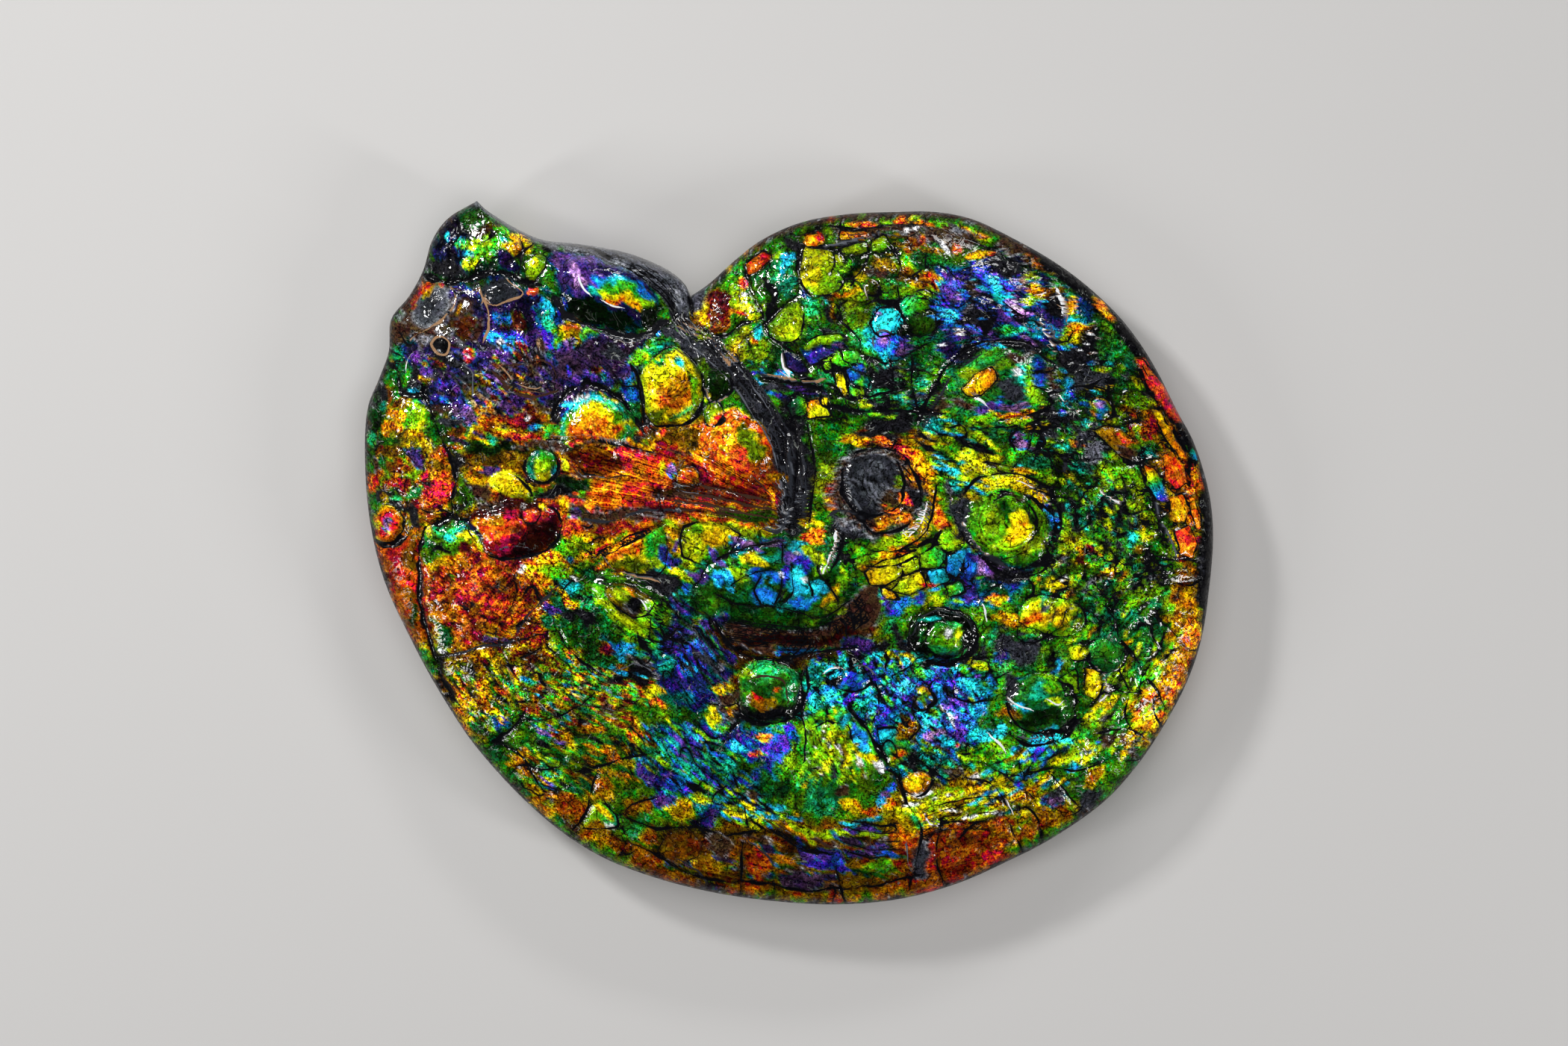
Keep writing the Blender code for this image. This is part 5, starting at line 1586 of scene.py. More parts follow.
def top_band(skin):
    """The band of cells along the top, and the big cracked plates under it."""
    skin.zones(
        (1100, 312, 40, 12, "leaf", 0.35, 8), (1180, 305, 60, 12, "umber", 0.3),
        (1230, 322, 18, 9, "scarlet", 0.45), (1270, 318, 40, 14, "umber", 0.3, -10),
        (1295, 340, 22, 9, "leaf", 0.5, -10), (1312, 346, 18, 8, "amber", 0.8, -15),
        (1335, 353, 9, 6, "scarlet", 0.9, -20), (1360, 335, 30, 12, "umber", 0.3, -30),
        (1385, 345, 20, 6, "orange", 0.5, -32), (1350, 360, 20, 12, "coal", 0.2, -20),
        (1140, 350, 60, 26, "green", 0.16), (1170, 352, 16, 20, "leaf", 0.35),
        (1185, 356, 13, 15, "amber", 0.5), (1130, 352, 10, 8, "leaf", 0.9), (1128, 379, 14, 8, "lime", 0.9),
        (1155, 370, 12, 11, "yellow", 0.75), (1112, 396, 22, 6, "orange", 0.5),
        (1140, 397, 11, 9, "amber", 0.75), (1126, 410, 12, 8, "scarlet", 0.4),
        (1175, 372, 14, 8, "umber", 0.4), (1212, 348, 16, 16, "leaf", 0.8),
        (1232, 345, 14, 10, "emerald", 0.4), (1215, 362, 14, 9, "amber", 0.35),
        (1238, 374, 22, 12, "orange", 0.5), (1252, 380, 12, 11, "scarlet", 0.65),
        (1216, 388, 15, 12, "lime", 0.6), (1190, 396, 15, 10, "leaf", 0.7), (1240, 395, 14, 8, "leaf", 0.7),
        (1145, 415, 26, 18, "leaf", 0.5), (1156, 455, 15, 20, "emerald", 0.9),
        (1190, 430, 32, 26, "cyan", 1.1), (1222, 408, 28, 11, "emerald", 1.0, -12),
        (1180, 460, 24, 16, "azure", 1.0), (1178, 452, 12, 10, "mauve", 1.0),
        (1206, 458, 20, 13, "azure", 0.85), (1218, 468, 12, 7, "violet", 0.8),
        (1190, 476, 14, 8, "teal", 0.9), (1262, 417, 14, 18, "coal", 0.3),
    )
    for points, start, end, shade in (
        ([(1066, 341), (1076, 331), (1098, 333), (1126, 336), (1130, 350), (1120, 362), (1132, 372),
         (1126, 388), (1106, 396), (1086, 398), (1070, 376)], "yellow", "leaf", 0.8),
        ([(1116, 334), (1140, 328), (1161, 321), (1163, 336), (1147, 340), (1118, 339)], "leaf", "lime",
         0.95),
        ([(1167, 320), (1185, 315), (1196, 327), (1181, 339), (1168, 336)], "lime", "leaf", 0.85),
        ([(1197, 408), (1215, 395), (1246, 402), (1249, 412), (1226, 420), (1208, 426)], "teal", "leaf", 1.1),
        ([(1210, 428), (1250, 414), (1252, 440), (1235, 452), (1218, 447)], "green", "leaf", 0.3),
        ([(1162, 432), (1176, 412), (1202, 409), (1214, 428), (1204, 450), (1176, 452)], "cyan", "teal", 1.4),
        ([(1075, 330), (1078, 314), (1100, 312), (1104, 326), (1092, 331)], "orange", "amber", 1.0),
        ([(1124, 322), (1128, 310), (1160, 308), (1164, 316), (1142, 323)], "amber", "orange", 0.9),
    ):
        skin.plate(points, start, end, shade)
    skin.zone(1085, 372, 14, 14, "yellow", 0.8)
    skin.mark(1098, 318, 6, 6, "red", 1.0)
    for x, y, wide, colour in (
        (1155, 301, 22, "red"), (1205, 296, 14, "scarlet"), (1236, 301, 14, "scarlet"),
        (1130, 303, 12, "lime"), (1225, 293, 10, "lime"), (1258, 300, 10, "leaf"), (1186, 300, 8, "lime"),
    ):
        skin.mark(x, y, wide, 3.5, colour, 0.9)
    skin.line([(1098, 330), (1140, 323), (1172, 314), (1202, 318)], 1.6, -0.5, "grey")
    skin.line(
        [(1066, 316), (1110, 304), (1150, 306), (1200, 303), (1250, 306), (1310, 326), (1372, 358)], 1.6, 0.8,
    )
    skin.marks(
        (1214, 308, 6, 2.5, "white", 1.0, 20), (1226, 305, 5, 2, "white", 1.0, 20),
        (1284, 309, 13, 3, "grey", 1.0, -5), (1264, 331, 3, 11, "white", 1.0, 35),
        (1281, 332, 8, 5, "red", 1.0),
    )
    skin.boss(1168, 388, 10, 9, 0, 1.2, "leaf", "amber", 0.35, 1.6)
    skin.line([(1160, 396), (1158, 386), (1166, 379), (1176, 382), (1178, 391)], 1.4, -0.4, "white")
    skin.boss(1179, 456, 12, 11, 0, 0.8, "mauve", "azure", 1.1)
    skin.line([(1168, 462), (1167, 450), (1177, 443), (1190, 448), (1191, 460)], 1.2, -0.3, "grey")
    skin.boss(1212, 446, 11, 9, 0, 1.0, "green", "green", 0.12, 1.4)
    skin.zone(1170, 426, 6, 6, "mauve", 1.3)
    for run in (
        [(1116, 330), (1117, 350), (1113, 366)], [(1164, 338), (1158, 356), (1146, 370), (1124, 374)],
        [(1200, 340), (1206, 356), (1203, 384), (1206, 410), (1204, 430)], [(1196, 328), (1206, 340)],
        [(1124, 425), (1140, 440), (1152, 455), (1150, 475)], [(1126, 400), (1128, 425)],
        [(1210, 375), (1232, 360), (1260, 356), (1280, 370)], [(1210, 400), (1232, 388), (1256, 395)],
        [(1250, 400), (1252, 432), (1246, 452)], [(1160, 478), (1186, 484), (1212, 478), (1240, 462)],
    ):
        skin.line(run, 1.5, 0.8)


def dark_middle(skin):
    """The dark broken plates between the upper plates and the umbilicus."""
    skin.zones(
        (1170, 508, 50, 26, "coal", 0.2), (1205, 495, 14, 14, "slate", 0.5), (1182, 490, 14, 12, "coal", 0.3),
        (1170, 540, 15, 10, "lime", 0.85), (1182, 534, 10, 8, "emerald", 0.8),
        (1238, 505, 24, 24, "green", 0.3), (1215, 540, 11, 9, "teal", 0.8), (1246, 516, 11, 9, "leaf", 0.9),
        (1232, 535, 9, 10, "azure", 0.6), (1200, 515, 10, 8, "green", 0.6),
        (1270, 515, 12, 16, "emerald", 0.7), (1256, 548, 16, 9, "umber", 0.3),
        (1120, 555, 30, 16, "green", 0.2), (1140, 560, 14, 8, "leaf", 0.5), (1190, 560, 30, 12, "coal", 0.2),
        (1240, 562, 20, 9, "teal", 0.5), (1270, 570, 20, 12, "green", 0.5), (1285, 600, 24, 18, "leaf", 0.5),
        (1300, 640, 26, 14, "lime", 0.6), (1268, 640, 18, 26, "green", 0.35),
        (1320, 620, 20, 12, "yellow", 0.7), (1290, 660, 20, 10, "coal", 0.2),
    )
    skin.flecks(1190, 520, 80, 36, 0, 26, 7, ("leaf", "emerald", "teal", "lime", "black"), 0.8)
    skin.flecks(1275, 600, 40, 50, 0, 22, 6, ("lime", "leaf", "black", "teal", "yellow"), 0.8)
    for run in (
        [(1160, 478), (1165, 505), (1160, 530)], [(1192, 480), (1196, 510), (1190, 545)],
        [(1120, 528), (1150, 534), (1186, 528), (1216, 520)], [(1225, 480), (1222, 520), (1230, 550)],
        [(1110, 545), (1140, 548), (1170, 552), (1220, 550), (1262, 555)],
    ):
        skin.line(run, 2.2, 1.1)


def violet_field(skin):
    """The violet and blue field at the top right, and the dome below it."""
    skin.flow(1330, 410, 90, 60, 0, -40, 1.0)
    skin.zones(
        (1272, 385, 16, 22, "indigo", 0.7), (1290, 372, 16, 10, "blue", 1.0),
        (1300, 400, 26, 20, "umber", 0.4), (1328, 376, 8, 26, "azure", 1.3, 42),
        (1345, 392, 9, 12, "teal", 1.0, 40), (1305, 432, 28, 16, "coal", 0.5),
        (1335, 412, 18, 12, "indigo", 0.5), (1361, 412, 18, 9, "mauve", 1.3, -35),
        (1284, 410, 8, 16, "azure", 0.8, -20), (1318, 448, 20, 6, "violet", 0.6, -10),
        (1352, 441, 16, 9, "emerald", 1.1, 10), (1380, 440, 12, 12, "teal", 0.6),
        (1290, 452, 20, 12, "indigo", 0.6, 30), (1270, 425, 12, 12, "azure", 0.6),
        (1310, 455, 30, 6, "green", 0.3, 10), (1270, 470, 14, 20, "indigo", 0.3, 30),
        (1295, 480, 22, 10, "coal", 0.3, 30), (1330, 458, 30, 6, "slate", 0.5),
        (1385, 400, 10, 10, "leaf", 0.8), (1370, 460, 26, 8, "coal", 0.3, -10),
    )
    skin.marks((1286, 440, 4, 10, "white", 1.0, 20), (1262, 462, 5, 3, "white", 1.0))
    for step in range(5):
        x = 1344 + 6 * step
        skin.line([(x, 404 + 4 * step), (x + 8, 412 + 4 * step), (x + 10, 422 + 4 * step)], 0.8, 0.4)
    skin.line([(1394, 430), (1400, 448), (1412, 470)], 2.6, -0.9, "white")
    skin.line([(1404, 432), (1412, 450), (1414, 468)], 1.4, -0.6, "grey")
    skin.line(
        [(1228, 562), (1246, 530), (1264, 498), (1286, 474), (1312, 460), (1360, 455), (1392, 466)], 4.0, 2.0,
    )
    skin.line([(1236, 568), (1256, 540), (1274, 506), (1296, 484), (1320, 470)], 1.6, 0.8, "slate")
    skin.dim(1320, 410, 80, 50, -10, 0.85)
    skin.boss(1345, 508, 62, 44, 0, 3.0, "emerald", "green", 0.65)
    skin.zones(
        (1366, 476, 24, 10, "umber", 0.4, 15), (1365, 506, 16, 22, "teal", 0.9),
        (1345, 488, 16, 8, "leaf", 0.7), (1380, 515, 12, 26, "leaf", 0.8), (1392, 500, 8, 20, "blue", 0.6),
        (1355, 540, 18, 8, "mauve", 0.8), (1352, 520, 14, 12, "slate", 0.5), (1300, 500, 14, 12, "lime", 0.7),
        (1272, 520, 10, 16, "leaf", 0.8, 30), (1290, 538, 18, 8, "umber", 0.3),
        (1325, 545, 14, 10, "violet", 0.6), (1350, 555, 40, 5, "orange", 0.8, 4),
        (1375, 562, 34, 5, "lime", 0.9, 6), (1322, 562, 20, 8, "leaf", 0.8), (1360, 500, 6, 8, "white", 0.6),
    )
    skin.plate(
        [(1288, 520), (1306, 498), (1328, 488), (1337, 510), (1316, 528), (1294, 529)],
        "gold", "orange", 1.0, 0.8,
    )
    skin.line([(1304, 528), (1318, 538), (1326, 548)], 1.6, -0.5, "white")
    skin.line([(1340, 562), (1372, 556), (1404, 552), (1440, 548)], 2.6, 1.4)
    skin.line([(1336, 572), (1368, 568), (1400, 562)], 1.6, 0.8)


def right_upper(skin):
    """The dark cells at the upper right with painted white glints, and the warm rim stripes."""
    skin.zones(
        (1405, 390, 17, 13, "orange", 0.3), (1416, 410, 13, 20, "black", 0.1),
        (1381, 371, 8, 11, "lime", 1.0), (1370, 383, 6, 9, "tan", 0.5), (1387, 394, 8, 9, "amber", 0.8),
        (1378, 404, 11, 6, "lime", 0.8), (1450, 405, 14, 18, "azure", 0.4, 20),
        (1440, 428, 15, 5, "cyan", 0.8), (1440, 441, 17, 10, "orange", 0.8), (1446, 456, 11, 12, "gold", 0.9),
        (1456, 436, 9, 8, "scarlet", 1.0), (1462, 460, 20, 26, "black", 0.1), (1425, 452, 8, 14, "lime", 0.6),
        (1490, 466, 20, 24, "green", 0.6), (1500, 452, 16, 12, "emerald", 0.4),
        (1486, 491, 15, 11, "lime", 0.85), (1511, 481, 14, 13, "emerald", 0.7),
        (1440, 485, 24, 14, "coal", 0.2), (1521, 513, 15, 11, "yellow", 1.1),
        (1526, 530, 16, 14, "leaf", 0.65), (1530, 548, 20, 9, "amber", 0.4),
        (1495, 540, 14, 12, "green", 0.3), (1460, 510, 40, 14, "slate", 0.4),
        (1431, 512, 9, 18, "azure", 0.8, 15), (1425, 530, 6, 12, "cyan", 1.0, 20),
        (1465, 526, 13, 6, "lime", 0.6), (1482, 523, 8, 3, "gold", 0.9), (1500, 515, 14, 10, "green", 0.2),
        (1407, 510, 7, 24, "umber", 0.4), (1405, 488, 8, 10, "leaf", 0.7), (1420, 560, 34, 10, "coal", 0.2),
        (1452, 580, 15, 14, "slate", 0.5), (1466, 602, 15, 10, "grey", 0.5), (1400, 576, 16, 4, "gold", 0.8),
    )
    skin.mark(1435, 409, 5, 14, "orange", 0.9, -8)
    # the white and grey lines here are painted highlights on the glassy streaks
    skin.line([(1392, 438), (1402, 452), (1412, 470)], 1.4, -0.4, "white")
    skin.line([(1402, 434), (1408, 446), (1414, 456)], 0.8, -0.3, "grey")
    skin.line([(1426, 400), (1430, 418), (1428, 428)], 1.2, -0.3, "tan")
    skin.line([(1414, 386), (1421, 400), (1423, 418)], 1.6, -0.4, "white")
    # painted glints: small white marks on the dark cells
    for x, y in (
        (1463, 475), (1468, 485), (1453, 462), (1446, 470), (1472, 466), (1459, 447), (1470, 455),
        (1478, 478),
    ):
        skin.mark(x, y, 2.2, 1.8, "white", 1.0)
    skin.boss(1478, 549, 16, 13, 0, 1.6, "azure", "scarlet", 0.8, 2.0)
    skin.mark(1474, 543, 7, 5, "mauve", 1.2)
    skin.plate(
        [(1462, 576), (1480, 569), (1500, 574), (1520, 588), (1529, 602), (1520, 620), (1500, 611),
         (1480, 594)], "gold", "orange", 0.65,
    )
    skin.mark(1506, 588, 14, 4, "red", 1.3, -33)
    skin.zone(1508, 605, 14, 8, "umber", 0.4, -35)
    skin.line([(1420, 532), (1430, 545), (1446, 550)], 1.6, -0.5, "white")
    skin.zones(
        (1540, 570, 20, 11, "scarlet", 0.45), (1565, 580, 9, 15, "gold", 0.8, 30),
        (1572, 597, 8, 8, "amber", 1.0), (1535, 600, 22, 9, "leaf", 0.5), (1530, 613, 11, 9, "emerald", 0.8),
        (1591, 650, 10, 22, "orange", 0.85), (1528, 655, 14, 26, "lime", 0.8),
        (1510, 640, 14, 18, "leaf", 0.7), (1530, 692, 14, 20, "yellow", 0.7),
        (1556, 702, 11, 30, "leaf", 0.6, 15), (1582, 690, 14, 10, "orange", 0.85),
        (1560, 735, 16, 14, "leaf", 0.55), (1562, 665, 14, 12, "gold", 0.6), (1500, 680, 18, 16, "coal", 0.2),
        (1477, 681, 11, 12, "teal", 0.9), (1481, 650, 12, 10, "emerald", 0.8),
        (1440, 700, 12, 14, "slate", 0.3), (1500, 736, 17, 10, "leaf", 0.8), (1430, 735, 10, 15, "lime", 0.9),
        (1456, 742, 15, 8, "crimson", 0.3), (1435, 640, 24, 22, "green", 0.2),
        (1447, 621, 14, 9, "teal", 0.7), (1490, 620, 20, 12, "leaf", 0.6), (1530, 740, 14, 12, "amber", 0.5),
        (1480, 705, 14, 12, "green", 0.5), (1460, 665, 12, 10, "leaf", 0.5),
    )
    skin.line([(1549, 672), (1556, 700), (1568, 722), (1574, 744)], 1.6, -0.5, "grey")
    skin.line([(1528, 620), (1536, 648), (1548, 680), (1556, 712), (1562, 730)], 2.0, 1.0)
    # painted highlight: a short white line
    skin.line([(1474, 660), (1484, 668), (1496, 674)], 1.6, -0.4, "white")
    skin.line([(1428, 610), (1428, 632), (1444, 646)], 1.8, -0.5, "slate")
    skin.zones(
        (1375, 591, 21, 13, "mauve", 0.75, -10), (1386, 588, 9, 8, "leaf", 0.8),
        (1406, 586, 14, 9, "slate", 0.5), (1356, 613, 15, 13, "leaf", 0.9),
        (1377, 650, 30, 12, "gold", 0.9, -20), (1352, 652, 14, 7, "orange", 0.8),
        (1400, 640, 14, 16, "leaf", 0.8), (1345, 632, 18, 9, "lime", 0.8), (1385, 625, 20, 9, "emerald", 0.5),
        (1340, 590, 12, 20, "green", 0.4),
    )
    skin.line([(1360, 602), (1352, 586), (1368, 575), (1392, 582), (1398, 596), (1380, 606)], 1.8, 0.9)
    skin.line([(1340, 660), (1368, 662), (1392, 672), (1408, 690), (1412, 716), (1402, 738)], 2.4, 1.4)
    skin.line([(1376, 662), (1398, 676), (1406, 700), (1402, 728)], 1.2, -0.4, "grey")
    skin.zones((1416, 702, 6, 34, "slate", 0.4), (1427, 700, 6, 26, "leaf", 0.7))
    skin.dim(1480, 680, 110, 220, 0, 0.9)
    skin.flecks(1470, 700, 60, 60, 0, 40, 7, ("black", "teal", "lime", "leaf", "coal", "green"), 0.7)
    skin.flecks(1450, 520, 60, 50, 0, 26, 6, ("black", "azure", "leaf", "slate", "teal"), 0.7)


def outer_rim(skin):
    """The rim: olive and brown at the top, black on the right, thin elsewhere."""
    gap = np.abs(signed_gap(smooth_run(KEEL), skin.spots))
    grain = 4 * rough_noise(skin.spots, 18, 131)
    right = 1 - ease(0.9, 1.1, oval_reach(skin.spots, 1560, 560, 180, 280, 30))
    top = 1 - ease(0.9, 1.1, oval_reach(skin.spots, 1150, 320, 260, 90, 0))
    brown = 5 * top + 2
    skin.paint(1 - ease(0.7, 1.3, (gap + grain) / brown), "umber", "umber", 0.0, 0.4)
    skin.polish = 0.1 + 0.9 * ease(8, 46, gap)
    skin.paint(1 - ease(0.8, 1.2, (gap + grain) / (17 * right + 0.5)), "black", "black", 0.0, 0.1)
    skin.marks(
        (1478, 414, 6, 24, "scarlet", 0.9, 42), (1500, 466, 10, 14, "green", 0.7, 30),
        (1601, 640, 8, 26, "orange", 0.8), (1592, 658, 9, 16, "scarlet", 0.9),
    )
    for points, start, end, shade in (
        ([(1522, 478), (1534, 480), (1558, 512), (1578, 552), (1584, 568), (1570, 562), (1550, 536),
         (1533, 508)], "red", "crimson", 1.05),
        ([(1542, 546), (1556, 550), (1580, 588), (1597, 618), (1586, 618), (1562, 590)], "gold", "orange",
         0.95),
        ([(1584, 574), (1592, 590), (1602, 612), (1605, 626), (1596, 618), (1588, 600)], "scarlet", "mauve",
         1.0),
        ([(1594, 662), (1601, 666), (1608, 690), (1608, 714), (1600, 708), (1594, 685)], "orange", "scarlet",
         1.2),
        ([(1556, 610), (1570, 605), (1585, 622), (1590, 644), (1576, 656), (1560, 642)], "orange", "red",
         1.1),
        ([(1533, 622), (1546, 628), (1560, 652), (1563, 670), (1551, 670), (1538, 650)], "red", "mauve", 1.2),
        ([(1572, 712), (1591, 703), (1602, 728), (1600, 749), (1582, 742)], "red", "orange", 1.2),
        ([(1566, 668), (1584, 658), (1592, 680), (1584, 702), (1568, 698)], "orange", "amber", 1.0),
    ):
        skin.plate(points, start, end, shade, 1.0)
    skin.line([(1526, 492), (1544, 528), (1566, 570), (1590, 606), (1594, 650)], 2.6, 1.6)
    skin.flecks(1612, 700, 8, 70, 0, 14, 3, ("slate", "black", "grey"), 0.5)
    skin.flecks(1000, 330, 60, 10, 40, 14, 5, ("amber", "leaf", "orange"), 0.4)
    skin.flecks(1150, 292, 80, 6, 0, 16, 5, ("leaf", "umber", "scarlet"), 0.4)


def speckled_green(skin):
    """The speckled green and orange field at the lower left."""
    skin.zones(
        (640, 930, 42, 50, "gold", 0.5), (615, 928, 14, 22, "scarlet", 0.8, -15),
        (626, 962, 10, 14, "scarlet", 0.6, -20), (617, 908, 8, 8, "slate", 0.6),
        (660, 905, 13, 32, "gold", 0.85), (642, 968, 20, 18, "green", 0.6), (672, 975, 14, 14, "azure", 0.4),
        (640, 890, 20, 8, "leaf", 0.6), (714, 856, 24, 22, "scarlet", 0.4), (728, 848, 8, 10, "orange", 0.8),
        (738, 872, 12, 7, "yellow", 0.9, -20), (700, 880, 16, 9, "crimson", 0.3),
        (780, 930, 80, 40, "leaf", 0.6), (720, 910, 30, 24, "orange", 0.35),
        (790, 990, 70, 24, "green", 0.45), (700, 1012, 24, 22, "green", 0.4),
        (738, 985, 30, 8, "mauve", 0.8, -38), (730, 1043, 16, 15, "violet", 0.8),
        (762, 1084, 14, 14, "violet", 0.6), (770, 1040, 24, 24, "leaf", 0.7),
        (755, 1020, 20, 10, "cyan", 0.6), (800, 1050, 26, 24, "amber", 0.5),
        (850, 1050, 30, 30, "leaf", 0.35), (855, 1080, 26, 14, "orange", 0.35),
        (840, 1008, 8, 7, "gold", 0.9), (690, 1025, 8, 26, "orange", 0.6, 35),
        (725, 1075, 14, 34, "amber", 0.6, 42), (775, 1108, 26, 12, "umber", 0.4, -30),
        (822, 1130, 16, 9, "orange", 0.8, -20), (860, 1120, 22, 14, "leaf", 0.5),
        (665, 1000, 10, 24, "green", 0.3, 38), (590, 905, 6, 40, "black", 0.1, -20),
    )
    skin.flecks(785, 905, 78, 50, 0, 60, 9, ("crimson", "umber", "scarlet", "umber", "amber"), 0.5)
    skin.flecks(655, 905, 40, 34, -10, 16, 9, ("amber", "gold", "orange", "scarlet"), 0.7)
    skin.plate(
        [(790, 1076), (801, 1072), (826, 1094), (829, 1108), (800, 1113), (777, 1108)], "lime", "teal", 1.0,
    )
    # the white marks here are painted highlights
    skin.marks(
        (808, 1088, 18, 4, "gold", 1.0, -40), (815, 1107, 10, 3.5, "white", 1.2, -8),
        (591, 873, 6, 3.5, "white", 1.0),
    )
    for run, half in (
        (((660, 992), (680, 985), (694, 968), (702, 952)), 3.6),
        (((668, 862), (680, 885), (692, 906), (704, 940)), 1.2),
        (((742, 832), (752, 852), (768, 876), (798, 898)), 1.4), (((735, 848), (730, 864), (746, 876)), 1.4),
        (((690, 838), (702, 834), (724, 838)), 1.4), (((700, 882), (722, 868)), 1.2),
        (((798, 1040), (790, 1066), (780, 1090), (768, 1112)), 1.6),
        (((828, 1092), (850, 1076), (876, 1070)), 1.4), (((834, 1108), (842, 1126), (830, 1142)), 1.4),
        (((796, 1026), (840, 1016), (884, 1008)), 2.0),
        (((640, 1008), (664, 996), (690, 1006), (712, 1036), (730, 1062)), 1.6),
    ):
        skin.line(run, half, 0.9)
    skin.line([(676, 872), (684, 900), (692, 930)], 1.0, -0.3, "tan")


def green_oval(skin):
    """The green oval boss with its orange layers, and the honeycomb beside it."""
    skin.zones(
        (800, 860, 44, 24, "green", 0.3, -20), (832, 870, 30, 9, "azure", 0.5, -25),
        (812, 865, 9, 8, "crimson", 0.4), (735, 813, 14, 9, "indigo", 0.6),
        (735, 832, 16, 10, "emerald", 0.6), (760, 835, 18, 16, "green", 0.4),
        (776, 822, 24, 7, "coal", 0.2, -20), (755, 795, 16, 6, "amber", 0.9, -45),
        (905, 832, 16, 30, "indigo", 0.6, 25), (890, 860, 18, 20, "emerald", 0.8),
    )
    skin.boss(846, 806, 58, 34, -25, 3.4, "green", "leaf", 0.75)
    skin.zones((830, 826, 46, 9, "lime", 0.9, -25), (868, 778, 20, 8, "green", 0.5, -30))
    skin.boss(844, 803, 32, 18, -28, 1.6, "leaf", "amber", 0.35, 1.4)
    skin.zones(
        (836, 791, 22, 4, "orange", 0.9, -28), (852, 817, 16, 7, "umber", 0.3, -25),
        (838, 802, 14, 6, "lime", 0.7, -25),
    )
    # painted glint on the boss
    skin.mark(867, 806, 5, 3, "white", 1.0, -60)
    skin.zones(
        (874, 830, 9, 26, "leaf", 1.1, 20), (884, 848, 10, 10, "emerald", 1.0),
        (764, 782, 14, 8, "teal", 1.0, -30), (752, 792, 10, 5, "amber", 1.0, -40),
        (810, 782, 24, 7, "green", 0.5, -20), (850, 806, 12, 9, "black", 0.2, -20),
    )
    # painted glints: a white mark and a short white line
    skin.mark(770, 773, 4, 2.5, "white", 0.9, -30)
    skin.line([(858, 803), (864, 810), (866, 816)], 1.2, -0.4, "white")
    for layer in range(3):
        skin.line(
            [(800 + 4 * layer, 776 + 4 * layer), (830, 770 + 6 * layer), (862 - 2 * layer, 782 + 5 * layer),
             (884 - 3 * layer, 806), (884 - 3 * layer, 836 - 3 * layer)], 0.9, 0.3,
        )
    bent = skin.spots + 3 * skin.wobble
    name, border = cells(bent, 15, 141)
    here = 1 - ease(0.8, 1.2, oval_reach(skin.spots, 893, 858, 26, 40, 20))
    skin.shade *= 1 + here * (name - 0.4)
    skin.tint += here * 0.15 * (name - 0.5)
    skin.cut(np.where(here > 0.4, border, 99.0), 1.0, 0.4, "black")


